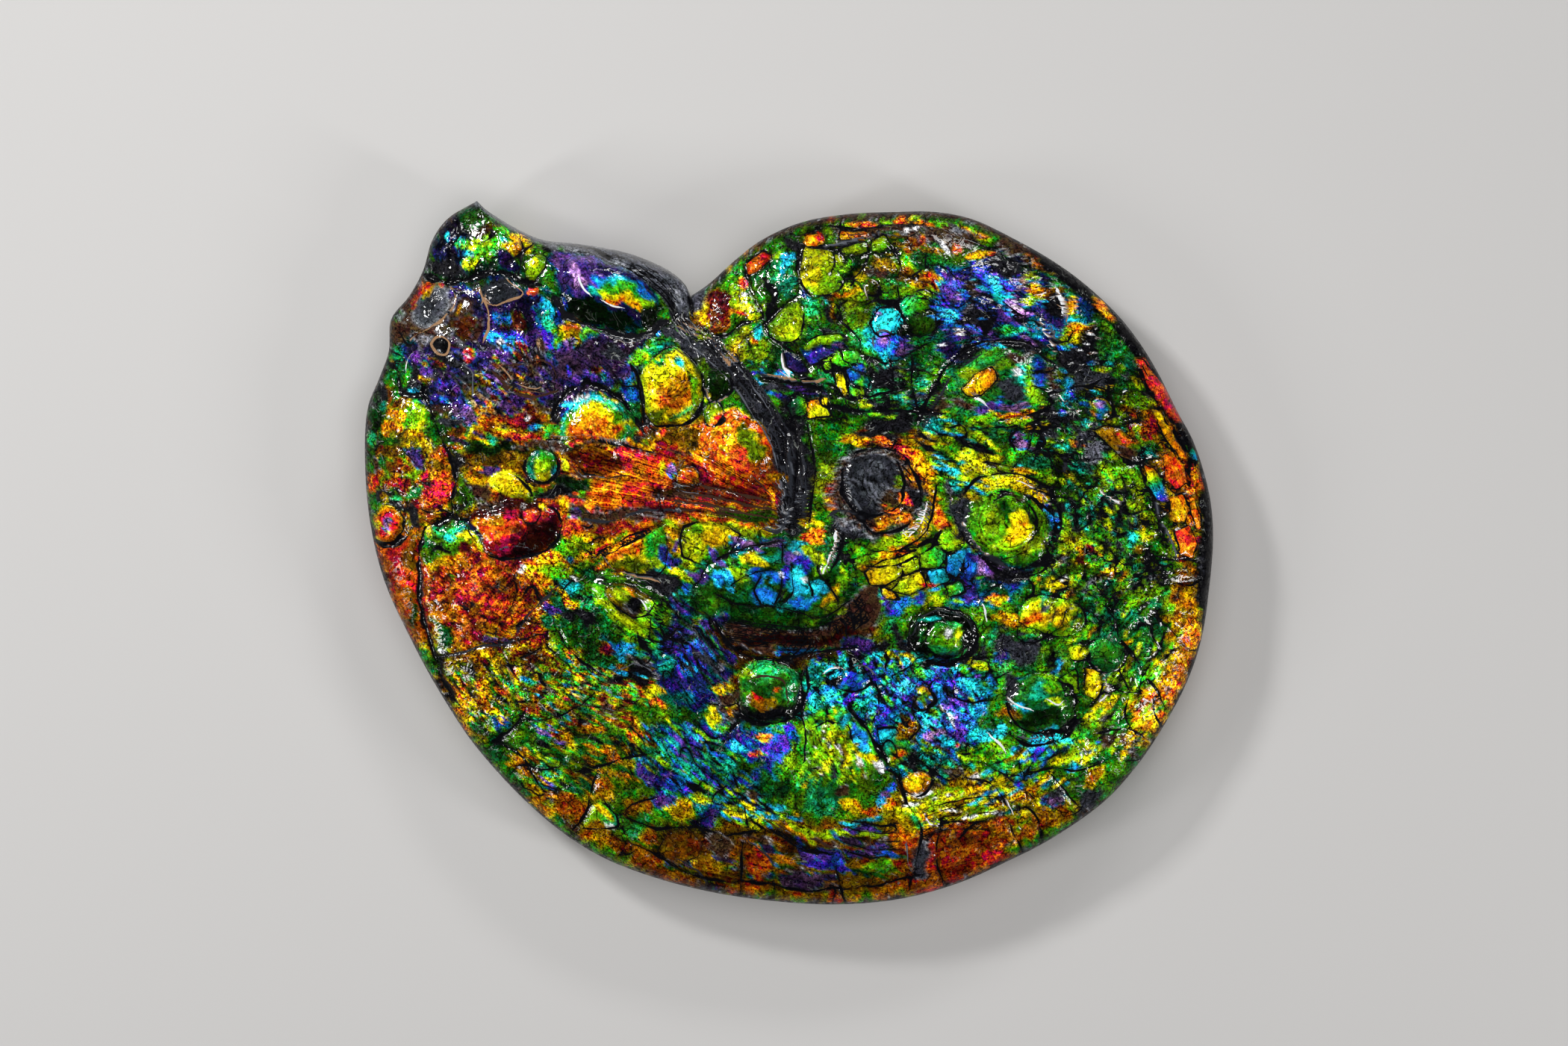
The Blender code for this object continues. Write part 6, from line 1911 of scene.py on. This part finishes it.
def broad_strands(skin):
    """Strands and flecks that the finer features lie on."""
    dark = "black"
    for row in (
        (930, 1030, 90, 50, -25, 190, 5, ("indigo", "blue", "azure", "green", "emerald", "teal", dark, dark),
         0.6, 3.2, -36),
        (985, 1075, 60, 24, -20, 60, 4, ("lime", "cyan", "azure", "leaf", dark, dark), 0.8, 4.0, -24),
        (925, 855, 40, 70, 30, 110, 4, ("violet", "indigo", "teal", "slate", "slate", dark, dark), 0.42, 4.0,
         -52),
        (780, 925, 95, 50, 0, 130, 6, ("scarlet", "crimson", "orange", "crimson", "amber"), 0.45),
        (780, 932, 95, 50, 0, 150, 4, ("lime", "green", "emerald", "green", "leaf", dark), 0.7, 2.0, -30),
        (800, 930, 90, 60, 0, 70, 6, ("orange", "scarlet", "umber", "amber", "umber"), 0.6),
        (800, 1010, 80, 50, 0, 130, 5, ("orange", "scarlet", "amber", "green", "leaf", dark), 0.45, 2.0, -20),
        (645, 930, 45, 50, -20, 90, 4, ("amber", "leaf", "orange", "green", "gold", dark), 0.6, 3.0, -58),
        (740, 1040, 50, 60, -35, 80, 5, ("lime", "green", "emerald", "amber", dark), 0.55, 2.4, -48),
        (650, 800, 80, 62, 0, 240, 4, ("crimson", "crimson", "scarlet", "red", "scarlet", "orange", dark),
         0.6, 1.8, 50),
        (610, 690, 50, 60, 0, 40, 5, ("leaf", "gold", "orange", dark), 0.6, 2.0, 30),
        (895, 655, 160, 56, -5, 150, 5, ("red", "orange", "crimson", "scarlet", "scarlet", "umber"), 0.65,
         7.0, -8),
        (650, 510, 95, 66, 0, 170, 6, ("violet", "indigo", "mauve", "umber", "umber", dark, "slate", "grey"),
         0.5, 2.0, -34),
        (655, 575, 90, 28, 0, 80, 5, ("orange", "scarlet", "mauve", "amber", dark), 0.5, 3.0, -12),
        (540, 590, 44, 100, 0, 90, 5, ("green", "leaf", "amber", "umber", dark, "crimson"), 0.5, 2.4, 80),
        (820, 820, 90, 50, -30, 130, 5, ("green", "emerald", "leaf", "lime", dark, dark), 0.6, 3.6, -34),
        (1025, 840, 110, 30, 3, 110, 4, ("umber", "crimson", dark, "orange", "green"), 0.3, 6.0, 0),
        (1130, 930, 66, 60, 0, 120, 5, ("azure", "cyan", "blue", dark, "emerald", "leaf", dark), 0.8, 2.0,
         60),
        (1235, 920, 76, 56, 0, 120, 5, ("azure", "cyan", "blue", dark, "indigo", "leaf", dark), 0.75, 2.0,
         -50),
        (1120, 1015, 50, 44, 0, 60, 5, ("lime", "leaf", "emerald", dark), 0.8, 2.6, 60),
        (1230, 1010, 50, 44, 0, 50, 5, ("teal", "umber", "gold", dark, "azure"), 0.6, 2.0, -40),
        (1230, 775, 90, 36, 0, 80, 5, ("lime", "leaf", "yellow", dark, "azure"), 0.85, 1.6, 20),
        (1200, 640, 80, 80, 0, 90, 4, ("scarlet", "orange", dark, "amber", dark, "leaf"), 0.6, 3.4, "round"),
        (1350, 700, 74, 62, 0, 70, 5, ("lime", "yellow", "leaf", dark, "gold"), 0.8, 3.4, "round"),
        (1290, 610, 60, 60, 0, 90, 4, ("lime", "leaf", dark, "teal", "yellow", dark), 0.75, 3.0, -28),
        (1395, 605, 60, 46, 0, 80, 4, ("lime", "leaf", dark, "orange", "teal"), 0.7, 3.6, -22),
        (1480, 640, 60, 150, 25, 220, 5, (dark, "lime", "leaf", "teal", "green", "emerald", dark), 0.75, 2.6,
         -62),
        (1560, 640, 34, 120, 14, 90, 5, ("orange", "amber", "leaf", "scarlet", dark), 0.7, 3.0, -64),
        (1480, 800, 100, 70, 0, 170, 5, (dark, "lime", "leaf", "emerald", "amber", dark), 0.75, 2.2, 50),
        (1520, 930, 50, 100, -28, 130, 5, ("green", "leaf", "green", "gold", "emerald", dark), 0.7, 3.0, 58),
        (1390, 1040, 100, 42, 22, 120, 5, ("lime", "leaf", "gold", "azure", dark), 0.7, 3.2, 24),
        (1365, 880, 60, 44, 0, 70, 5, (dark, "azure", "leaf", "slate", "emerald"), 0.6, 2.2, "round"),
        (1455, 500, 60, 50, 0, 90, 4, (dark, "azure", "leaf", "slate", "teal", dark), 0.7, 2.4, -40),
        (1330, 410, 90, 56, -10, 150, 4, ("violet", "azure", "indigo", "blue", "cyan", dark), 0.7, 3.4, -40),
        (1345, 508, 64, 46, 0, 70, 4, ("emerald", "leaf", "teal", dark), 0.7, 3.0, "round"),
        (1150, 400, 120, 70, 0, 120, 5, ("leaf", "green", "lime", "emerald", dark), 0.6, 1.6, 30),
        (1180, 515, 90, 40, 0, 110, 5, (dark, "green", "emerald", "teal", dark, "leaf"), 0.55, 2.0, -20),
        (1050, 505, 60, 30, -10, 50, 4, ("slate", "cyan", "indigo", dark, "leaf"), 0.6, 3.0, -20),
        (1000, 400, 70, 60, 30, 70, 5, ("leaf", "emerald", "green", dark, "lime"), 0.6, 2.0, 60),
        (1250, 320, 160, 22, 0, 70, 4, ("umber", "scarlet", dark, "leaf", "amber"), 0.5, 3.0, -8),
        (1050, 1155, 190, 42, 0, 120, 6, ("orange", "scarlet", "umber", "green", "amber", "mauve"), 0.35,
         3.0, -14),
        (1280, 1140, 90, 40, 16, 70, 7, ("orange", "scarlet", "scarlet", "umber"), 0.45, 3.0, 14),
        (1275, 1085, 60, 24, 0, 50, 4, ("lime", "gold", dark, "yellow"), 0.8, 5.0, -14),
        (885, 500, 60, 60, 0, 50, 4, ("slate", dark, "leaf", "teal"), 0.5, 3.0, "round"),
        (760, 480, 60, 50, 0, 70, 4, ("mauve", "indigo", "slate", dark, "violet"), 0.45, 2.4, -30),
        (1005, 760, 90, 40, -8, 90, 4, ("cyan", "azure", "violet", dark, "teal", "lime"), 0.75, 2.6, -24),
        (930, 725, 60, 30, -8, 50, 5, ("yellow", "leaf", "amber", "lime"), 0.7, 3.0, -20),
        (830, 735, 60, 30, 0, 60, 5, ("orange", "amber", "leaf", "scarlet"), 0.65, 3.0, 24),
    ):
        skin.flecks(*row)
        if len(row) > 10:
            skin.flow(*row[:5], row[10], 0.7)
    skin.dim(530, 590, 50, 100, 0, 0.78)
    skin.dim(1130, 1010, 60, 60, 0, 0.92)
    skin.dim(890, 640, 170, 70, -8, 0.93)
    skin.rays(895, 650, 175, 64, -8, 1120, 712, 330, 1.1)


def fine_strands(skin):
    """Strands that lie over the finer features."""
    dark = "black"
    for row in (
        (925, 1020, 75, 42, -25, 150, 3.5,
         ("green", "emerald", "indigo", "azure", "lime", "teal", dark, dark), 0.65, 3.4, -36),
        (985, 1078, 60, 20, -20, 40, 3, ("lime", "cyan", "gold", dark, dark), 0.85, 5.0, -24),
        (925, 855, 36, 62, 30, 60, 3.5, ("teal", "indigo", "slate", "green", "slate", dark, dark), 0.45, 4.0,
         -52),
        (655, 510, 85, 56, 0, 110, 4, ("violet", "indigo", "crimson", "umber", dark, dark, "slate"), 0.4,
         2.2, -34),
        (650, 800, 76, 58, 0, 150, 3.5, ("crimson", "red", "scarlet", "crimson", dark, "orange"), 0.6, 2.0,
         50),
        (780, 925, 90, 46, 0, 90, 3.5, ("crimson", "emerald", "lime", dark, "cyan"), 0.6, 1.8, -30),
        (1130, 930, 60, 50, 0, 70, 3.5, (dark, "cyan", "emerald", dark, "teal"), 0.9, 2.4, 60),
        (1240, 930, 70, 50, 0, 80, 3.5, (dark, "azure", "cyan", dark, "indigo"), 0.8, 2.4, -50),
        (1250, 1015, 60, 30, 0, 50, 3.5, (dark, "teal", "lime", dark, "umber"), 0.8, 2.0, -40),
        (1110, 1010, 40, 36, 0, 40, 3.5, ("lime", "leaf", dark, "yellow"), 0.9, 3.0, 60),
        (1480, 790, 100, 60, 0, 110, 4, (dark, "lime", "emerald", dark, "leaf", "grey"), 0.7, 2.4, 50),
        (1470, 680, 50, 70, 20, 80, 3.5, (dark, "teal", "lime", dark, "slate"), 0.7, 2.6, -62),
        (1180, 520, 80, 40, 0, 60, 4, (dark, "emerald", dark, "leaf", "slate"), 0.6, 2.4, -20),
        (1320, 420, 80, 46, -10, 70, 3.5, (dark, "azure", "violet", dark, "cyan"), 0.8, 3.6, -40),
        (1520, 930, 44, 80, -28, 60, 4, ("lime", "green", "gold", dark), 0.8, 3.6, 58),
        (1390, 1035, 90, 36, 22, 60, 3.5, ("lime", "cyan", "gold", dark), 0.85, 4.0, 24),
        (1290, 610, 56, 50, 0, 50, 3.5, ("lime", dark, "cyan", dark), 0.85, 4.0, -28),
    ):
        skin.flecks(*row)


def mouth_edge(skin):
    """The grey fibrous break along the mouth, widest near the notch."""
    run = smooth_run(MOUTH)
    near = skin.firm_finder.near(run, 40)
    gap = np.abs(signed_gap(run, skin.spots[near]))
    half = 5 + 19 * ease(690, 850, skin.spots[near, 0])
    cover = 1 - ease(0.75, 1.15, gap / half + skin.speckle[near])
    fibre = noise(np.column_stack((gap, 0.1 * skin.spots[near].sum(1))), 4, 161)
    skin.paint(cover, "grey", "grey", 0.0, 1.0, near)
    skin.tone[near] = mix(skin.tone[near], np.clip(0.42 + 0.14 * fibre, 0.2, 0.5), cover)
    skin.rise[near] += 0.6 * cover * fibre


def glassy_seam(skin):
    """The dark glassy seam that runs from the notch down past the fan."""
    path = [
        (908, 398), (915, 430), (945, 462), (985, 500), (1018, 545), (1042, 585), (1056, 630), (1062, 700),
    ]
    run = smooth_run(path)
    near = skin.firm_finder.near(run, 60)
    gap = signed_gap(run, skin.firm[near])
    share = np.clip((skin.firm[near, 1] - 398) / 300, 0, 1)
    half = 13 + 8 * share
    cover = 1 - ease(0.8, 1.15, np.abs(gap) / half + skin.speckle[near])
    grain = noise(np.column_stack((gap, 0.12 * skin.spots[near].sum(1))), 5, 151)
    tone = np.clip(0.16 + 0.2 * grain, 0, 0.5)
    skin.paint(cover, "black", "black", 0.0, 0.2, near)
    skin.tone[near] = mix(skin.tone[near], tone, cover)
    skin.rise[near] += cover * (0.8 * grain - 0.8)
    for offset, colour in ((-12, "grey"), (-4, "slate"), (6, "grey"), (14, "slate")):
        skin.line([(x + offset, y - 0.5 * offset) for x, y in path[1:]], 1.0, -0.4, colour)


REGIONS = (
    base_colours,
    speckled_green,
    broad_strands,
    green_oval,
    mouth_and_horn,
    violet_oval,
    outer_strip,
    mottled_field,
    glassy_seam,
    arches,
    ember_fan,
    red_boss,
    scarlet_field,
    dark_middle,
    lobe_by_notch,
    top_band,
    violet_field,
    right_upper,
    pale_ridges,
    middle_dome,
    umbilicus,
    right_dome,
    below_umbilicus,
    dark_boss,
    blue_field,
    eye_boss,
    violet_slope,
    lower_rim,
    ribbed_corner,
    right_bottom_rim,
    fine_strands,
    outer_rim,
    mouth_edge,
)


def camera_spots(places, height):
    """Where points are in the photograph, in pixels."""
    nearer = CAMERA_GAP / (CAMERA_GAP - (height - KEEL_HEIGHT))
    aim = np.array((PHOTO_WIDE, PHOTO_HIGH)) / 2
    return aim + (places - aim) * nearer[:, None]


def plain_shell(square):
    """Places in pixels, heights, and how far up the flank each of the slab's points is."""
    radius, turn = disc_place(square)
    level = square[:, 2]
    spoke = outline_at(turn) - HUB
    rounding = 1 - np.sqrt(np.clip(1 - level**2, 0, 1))
    reach = radius * (1 - KEEL_ROUND / PIXEL * rounding / np.hypot(*spoke.T))
    places = HUB + spoke * reach[:, None]
    above = plain_flank(places, FLANK_RISE)
    below = np.minimum(plain_flank(places, FLANK_DROP), KEEL_HEIGHT)
    height = KEEL_HEIGHT + np.where(level > 0, above, below) * level
    return places, height, np.clip(np.where(level > 0, level, 0), 0, 1)


def held_back(height):
    """Heights that never pass the top of the solid."""
    knee = HIGH.z - TOP_MARGIN - TOP_KNEE
    over = np.clip(height - knee, 0, None)
    return np.where(height > knee, knee + TOP_KNEE * np.tanh(over / TOP_KNEE), height)


def build_fossil():
    """The fossil as one closed object, with its look stored at each point."""
    mesh = slab()
    square = np.array([vert.co for vert in mesh.verts], float)
    data = bpy.data.meshes.new("ammonite_shell")
    mesh.to_mesh(data)
    mesh.free()

    places, height, inward = plain_shell(square)
    skin = Skin(camera_spots(places, height))
    for region in REGIONS:
        region(skin)
    skin.add_plates()
    skin.add_folds()
    skin.add_ripples()

    height = held_back(height + skin.rise / 1000 * inward)
    x = np.clip((places[:, 0] - MIDDLE[0]) * PIXEL, LOW.x + EDGE_MARGIN, HIGH.x - EDGE_MARGIN)
    y = np.clip((MIDDLE[1] - places[:, 1]) * PIXEL, LOW.y + EDGE_MARGIN, HIGH.y - EDGE_MARGIN)
    points = np.column_stack((x, y, height))
    data.vertices.foreach_set("co", points.astype(np.float32).ravel())

    for name, parts in (
        ("colour", skin.colours().T),
        ("look", (skin.stone, skin.streak, skin.vary)),
        ("seam", (skin.crack, skin.gap, skin.seam)),
        ("lay", (skin.rise, skin.across, skin.polish)),
    ):
        store = data.attributes.new(name, "FLOAT_VECTOR", "POINT")
        store.data.foreach_set("vector", np.column_stack(parts).astype(np.float32).ravel())
    data.shade_smooth()
    data.update()
    return add_object("ammonite_shell", data)


def add_object(name, data):
    made = bpy.data.objects.new(name, data)
    bpy.context.scene.collection.objects.link(made)
    return made


class Wiring:
    """Adds nodes to a material and joins them."""

    def __init__(self, material):
        self.tree = material.node_tree
        self.surface = self.tree.nodes["Principled BSDF"]

    def node(self, kind, settings=None, **inputs):
        """A new node. An input is given by its name, or as i and its number."""
        made = self.tree.nodes.new(kind)
        for name, value in (settings or {}).items():
            setattr(made, name, value)
        for name, value in inputs.items():
            self.plug(made.inputs[int(name[1:]) if name[1:].isdigit() else name], value)
        return made

    def plug(self, socket, value):
        if isinstance(value, bpy.types.NodeSocket):
            self.tree.links.new(value, socket)
        else:
            socket.default_value = value

    def finish(self, name, value):
        """Sets or joins one of the shader's own sockets."""
        self.plug(self.surface.inputs[name], value)

    def math(self, operation, a, b=0.0, c=0.0, clamp=False):
        settings = {"operation": operation, "use_clamp": clamp}
        return self.node("ShaderNodeMath", settings, i0=a, i1=b, i2=c).outputs[0]

    def times(self, a, b):
        return self.math("MULTIPLY", a, b)

    def scaled(self, a, b, c):
        """a times b, plus c."""
        return self.math("MULTIPLY_ADD", a, b, c)

    def swing(self, noise):
        """A noise moved so that its middle is 0."""
        return self.math("SUBTRACT", noise, 0.5)

    def vector(self, operation, a, b, c=(0.0, 0.0, 0.0)):
        return self.node("ShaderNodeVectorMath", {"operation": operation}, i0=a, i1=b, i2=c)

    def step(self, value, start, end, low=0.0, high=1.0):
        """A smooth step of a value between start and end."""
        settings = {"interpolation_type": "SMOOTHSTEP"}
        inputs = {"i0": value, "i1": start, "i2": end, "i3": low, "i4": high}
        return self.node("ShaderNodeMapRange", settings, **inputs).outputs[0]

    def blend(self, share, a, b):
        return self.node("ShaderNodeMix", {"data_type": "RGBA"}, i0=share, i6=a, i7=b).outputs[2]

    def ramp(self, value, scale):
        made = self.node("ShaderNodeValToRGB", i0=value)
        stops = made.color_ramp.elements
        places = sorted(scale.values())
        for _ in range(len(places) - 2):
            stops.new(0.5)
        for stop, (place, colour) in zip(stops, places):
            stop.position = place
            stop.color = (*colour, 1.0)
        return made.outputs[0]

    def split(self, vector):
        return self.node("ShaderNodeSeparateXYZ", i0=vector).outputs[:3]

    def field(self, name):
        return self.node("ShaderNodeAttribute", {"attribute_name": name}).outputs["Vector"]

    def grain(self, place, scale, detail, rough=0.5, warp=0.0, output=0):
        return self.node(
            "ShaderNodeTexNoise", {"noise_dimensions": "3D"},
            Vector=place, Scale=scale, Detail=detail, Roughness=rough, Distortion=warp,
        ).outputs[output]

    def line_grain(self, value, detail):
        settings = {"noise_dimensions": "1D"}
        return self.node(
            "ShaderNodeTexNoise", settings, W=value, Scale=1.0, Detail=detail
        ).outputs[0]

    def cells(self, place, scale, feature="F1"):
        return self.node("ShaderNodeTexVoronoi", {"feature": feature}, Vector=place, Scale=scale)

    def bump(self, height):
        return self.node("ShaderNodeBump", Height=height, Distance=1.0, Strength=1.0).outputs[0]


def ammolite():
    """Nacre over dark matrix, with cracks, mottling, painted pale glints and a clear polish."""
    material = bpy.data.materials.new("ammolite")
    material.use_nodes = True
    wire = Wiring(material)
    stone, streak, vary = wire.split(wire.field("look"))
    crack, gap, seam = wire.split(wire.field("seam"))
    relief, across, polish = wire.split(wire.field("lay"))
    place = wire.node("ShaderNodeTexCoord").outputs["Object"]

    broad = wire.grain(place, BROAD_GRAIN, 2, 0.6, 0.6)
    fine = wire.grain(place, FINE_GRAIN, 2, 0.7)
    glitter = wire.grain(place, GLITTER_GRAIN, 2, 0.7)
    contour = wire.swing(wire.line_grain(wire.scaled(relief, 1.8, wire.times(broad, 2.5)), 2.0))
    grooved = wire.swing(wire.line_grain(wire.scaled(across, 0.34, wire.times(broad, 3.0)), 3.0))
    grooves = wire.times(grooved, streak)
    bend = wire.grain(place, BEND_GRAIN, 2, output=1)
    bent = wire.vector("MULTIPLY_ADD", bend, BEND, place).outputs[0]
    facet = wire.cells(bent, FACETS)
    flake = wire.cells(bent, FLAKES)
    flake_edge = wire.cells(bent, FLAKES, "DISTANCE_TO_EDGE").outputs[0]
    flake_chance, flake_shift, _ = wire.split(flake.outputs["Color"])
    facet_chance = wire.split(facet.outputs["Color"])[0]

    # the hue wanders along the colour scale
    shift = wire.scaled(wire.swing(fine), HUE["fine"], wire.times(wire.swing(broad), HUE["broad"]))
    shift = wire.scaled(wire.times(contour, vary), HUE["contour"], wire.times(shift, vary))
    shift = wire.scaled(grooves, HUE["grooves"], shift)
    shift = wire.scaled(wire.swing(flake_shift), HUE["flakes"], shift)

    # the light of the finest cells, facets, flakes, hairlines and grooves
    patchy = wire.scaled(vary, 1.5, wire.step(broad, 0.35, 0.65, 0.0, 0.6))
    speckle = wire.times(wire.swing(fine), LIGHT["fine"])
    speckle = wire.scaled(wire.swing(glitter), LIGHT["glitter"], speckle)
    light = wire.scaled(contour, LIGHT["contour"], wire.scaled(speckle, patchy, 1.0))
    facet_light = wire.scaled(wire.swing(facet_chance), LIGHT["facets"], 1.0)
    flake_light = wire.scaled(wire.swing(flake_chance), LIGHT["flakes"], 1.0)
    hairline = wire.math("ADD", flake_edge, wire.times(wire.step(broad, 0.4, 0.5), 0.2))
    cell_light = wire.times(wire.times(facet_light, flake_light), wire.step(hairline, *HAIRLINE))
    light = wire.scaled(grooves, LIGHT["grooves"], wire.times(light, cell_light))
    light = wire.math("MAXIMUM", light, DARKEST)
    hue = wire.math("ADD", shift, 0.5)
    painted = wire.field("colour")
    colour = wire.node("ShaderNodeHueSaturation", Hue=hue, Value=light, Color=painted).outputs[0]

    # painted glints: thin pale lines laid on the colour as highlights, then the cracks and their filling
    painted_glint = wire.math("ABSOLUTE", wire.swing(wire.grain(place, PAINTED_GLINT_GRAIN, 3, 0.6, 0.8)))
    painted_glint = wire.times(wire.step(painted_glint, *PAINTED_GLINT_EDGES), wire.step(broad, 0.52, 0.62))
    painted_glint = wire.math("MULTIPLY", painted_glint, wire.scaled(vary, 0.7, -0.05), clamp=True)
    colour = wire.blend(painted_glint, colour, PAINTED_GLINT_COLOUR)
    bare = wire.step(stone, 0.35, 0.65)
    crack = wire.step(wire.math("ABSOLUTE", crack), *CRACK)
    crack = wire.times(crack, wire.step(gap, *CRACK_REACH))
    wire.finish("Base Color", wire.blend(crack, colour, wire.ramp(seam, ROCK)))

    wire.finish("Metallic", wire.scaled(wire.math("MAXIMUM", bare, crack), -BARE_SHINE, BARE_SHINE))
    wire.finish("Roughness", ROUGHNESS)
    wire.finish("Specular IOR Level", SPECULAR)
    wire.finish("Coat Weight", wire.times(wire.scaled(bare, -0.3, 0.9), polish))
    wire.finish("Coat Roughness", COAT_ROUGHNESS)
    offset = wire.vector("SUBTRACT", bent, facet.outputs["Position"]).outputs[0]
    lean = wire.vector("SUBTRACT", facet.outputs["Color"], (0.5, 0.5, 0.5)).outputs[0]
    tilt = wire.vector("DOT_PRODUCT", offset, lean).outputs[1]
    wire.finish("Normal", wire.bump(wire.times(tilt, FACET_TILT)))
    wire.finish("Coat Normal", wire.bump(wire.times(broad, POLISH_WAVES)))
    return material


def add_floor():
    mesh = bmesh.new()
    bmesh.ops.create_grid(mesh, x_segments=1, y_segments=1, size=FLOOR_HALF)
    data = bpy.data.meshes.new("floor")
    mesh.to_mesh(data)
    mesh.free()
    material = bpy.data.materials.new("pale_floor")
    material.use_nodes = True
    surface = material.node_tree.nodes["Principled BSDF"]
    surface.inputs["Base Color"].default_value = FLOOR_COLOUR
    surface.inputs["Roughness"].default_value = FLOOR_ROUGHNESS
    data.materials.append(material)
    add_object("floor", data)


def add_light(name, place, size, watts):
    """A soft light at a place, aimed at the fossil."""
    data = bpy.data.lights.new(name, "AREA")
    data.shape = "RECTANGLE"
    data.size, data.size_y = size
    data.energy = watts
    light = add_object(name, data)
    light.rotation_mode = "QUATERNION"
    light.rotation_quaternion = (-Vector(place)).to_track_quat("-Z", "Y")
    light.location = place
    light.visible_glossy = name != "top"


def add_camera():
    data = bpy.data.cameras.new("camera")
    data.lens = LENS
    data.sensor_width = SENSOR
    camera = add_object("camera", data)
    x = (PHOTO_WIDE / 2 - MIDDLE[0]) * PIXEL
    y = (MIDDLE[1] - PHOTO_HIGH / 2) * PIXEL
    camera.location = (x, y, KEEL_HEIGHT + CAMERA_GAP)
    bpy.context.scene.camera = camera


def add_stage():
    add_floor()
    add_camera()
    for name, settings in LIGHTS.items():
        add_light(name, *settings)
    world = bpy.data.worlds.new("studio")
    world.use_nodes = True
    sky = world.node_tree.nodes["Background"]
    sky.inputs[0].default_value = SKY
    sky.inputs[1].default_value = SKY_STRENGTH
    bpy.context.scene.world = world
    bpy.context.scene.view_settings.view_transform = "Standard"


def main():
    fossil = build_fossil()
    fossil.data.materials.append(ammolite())
    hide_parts("ammonite")
    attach(fossil, "root")
    add_stage()


main()
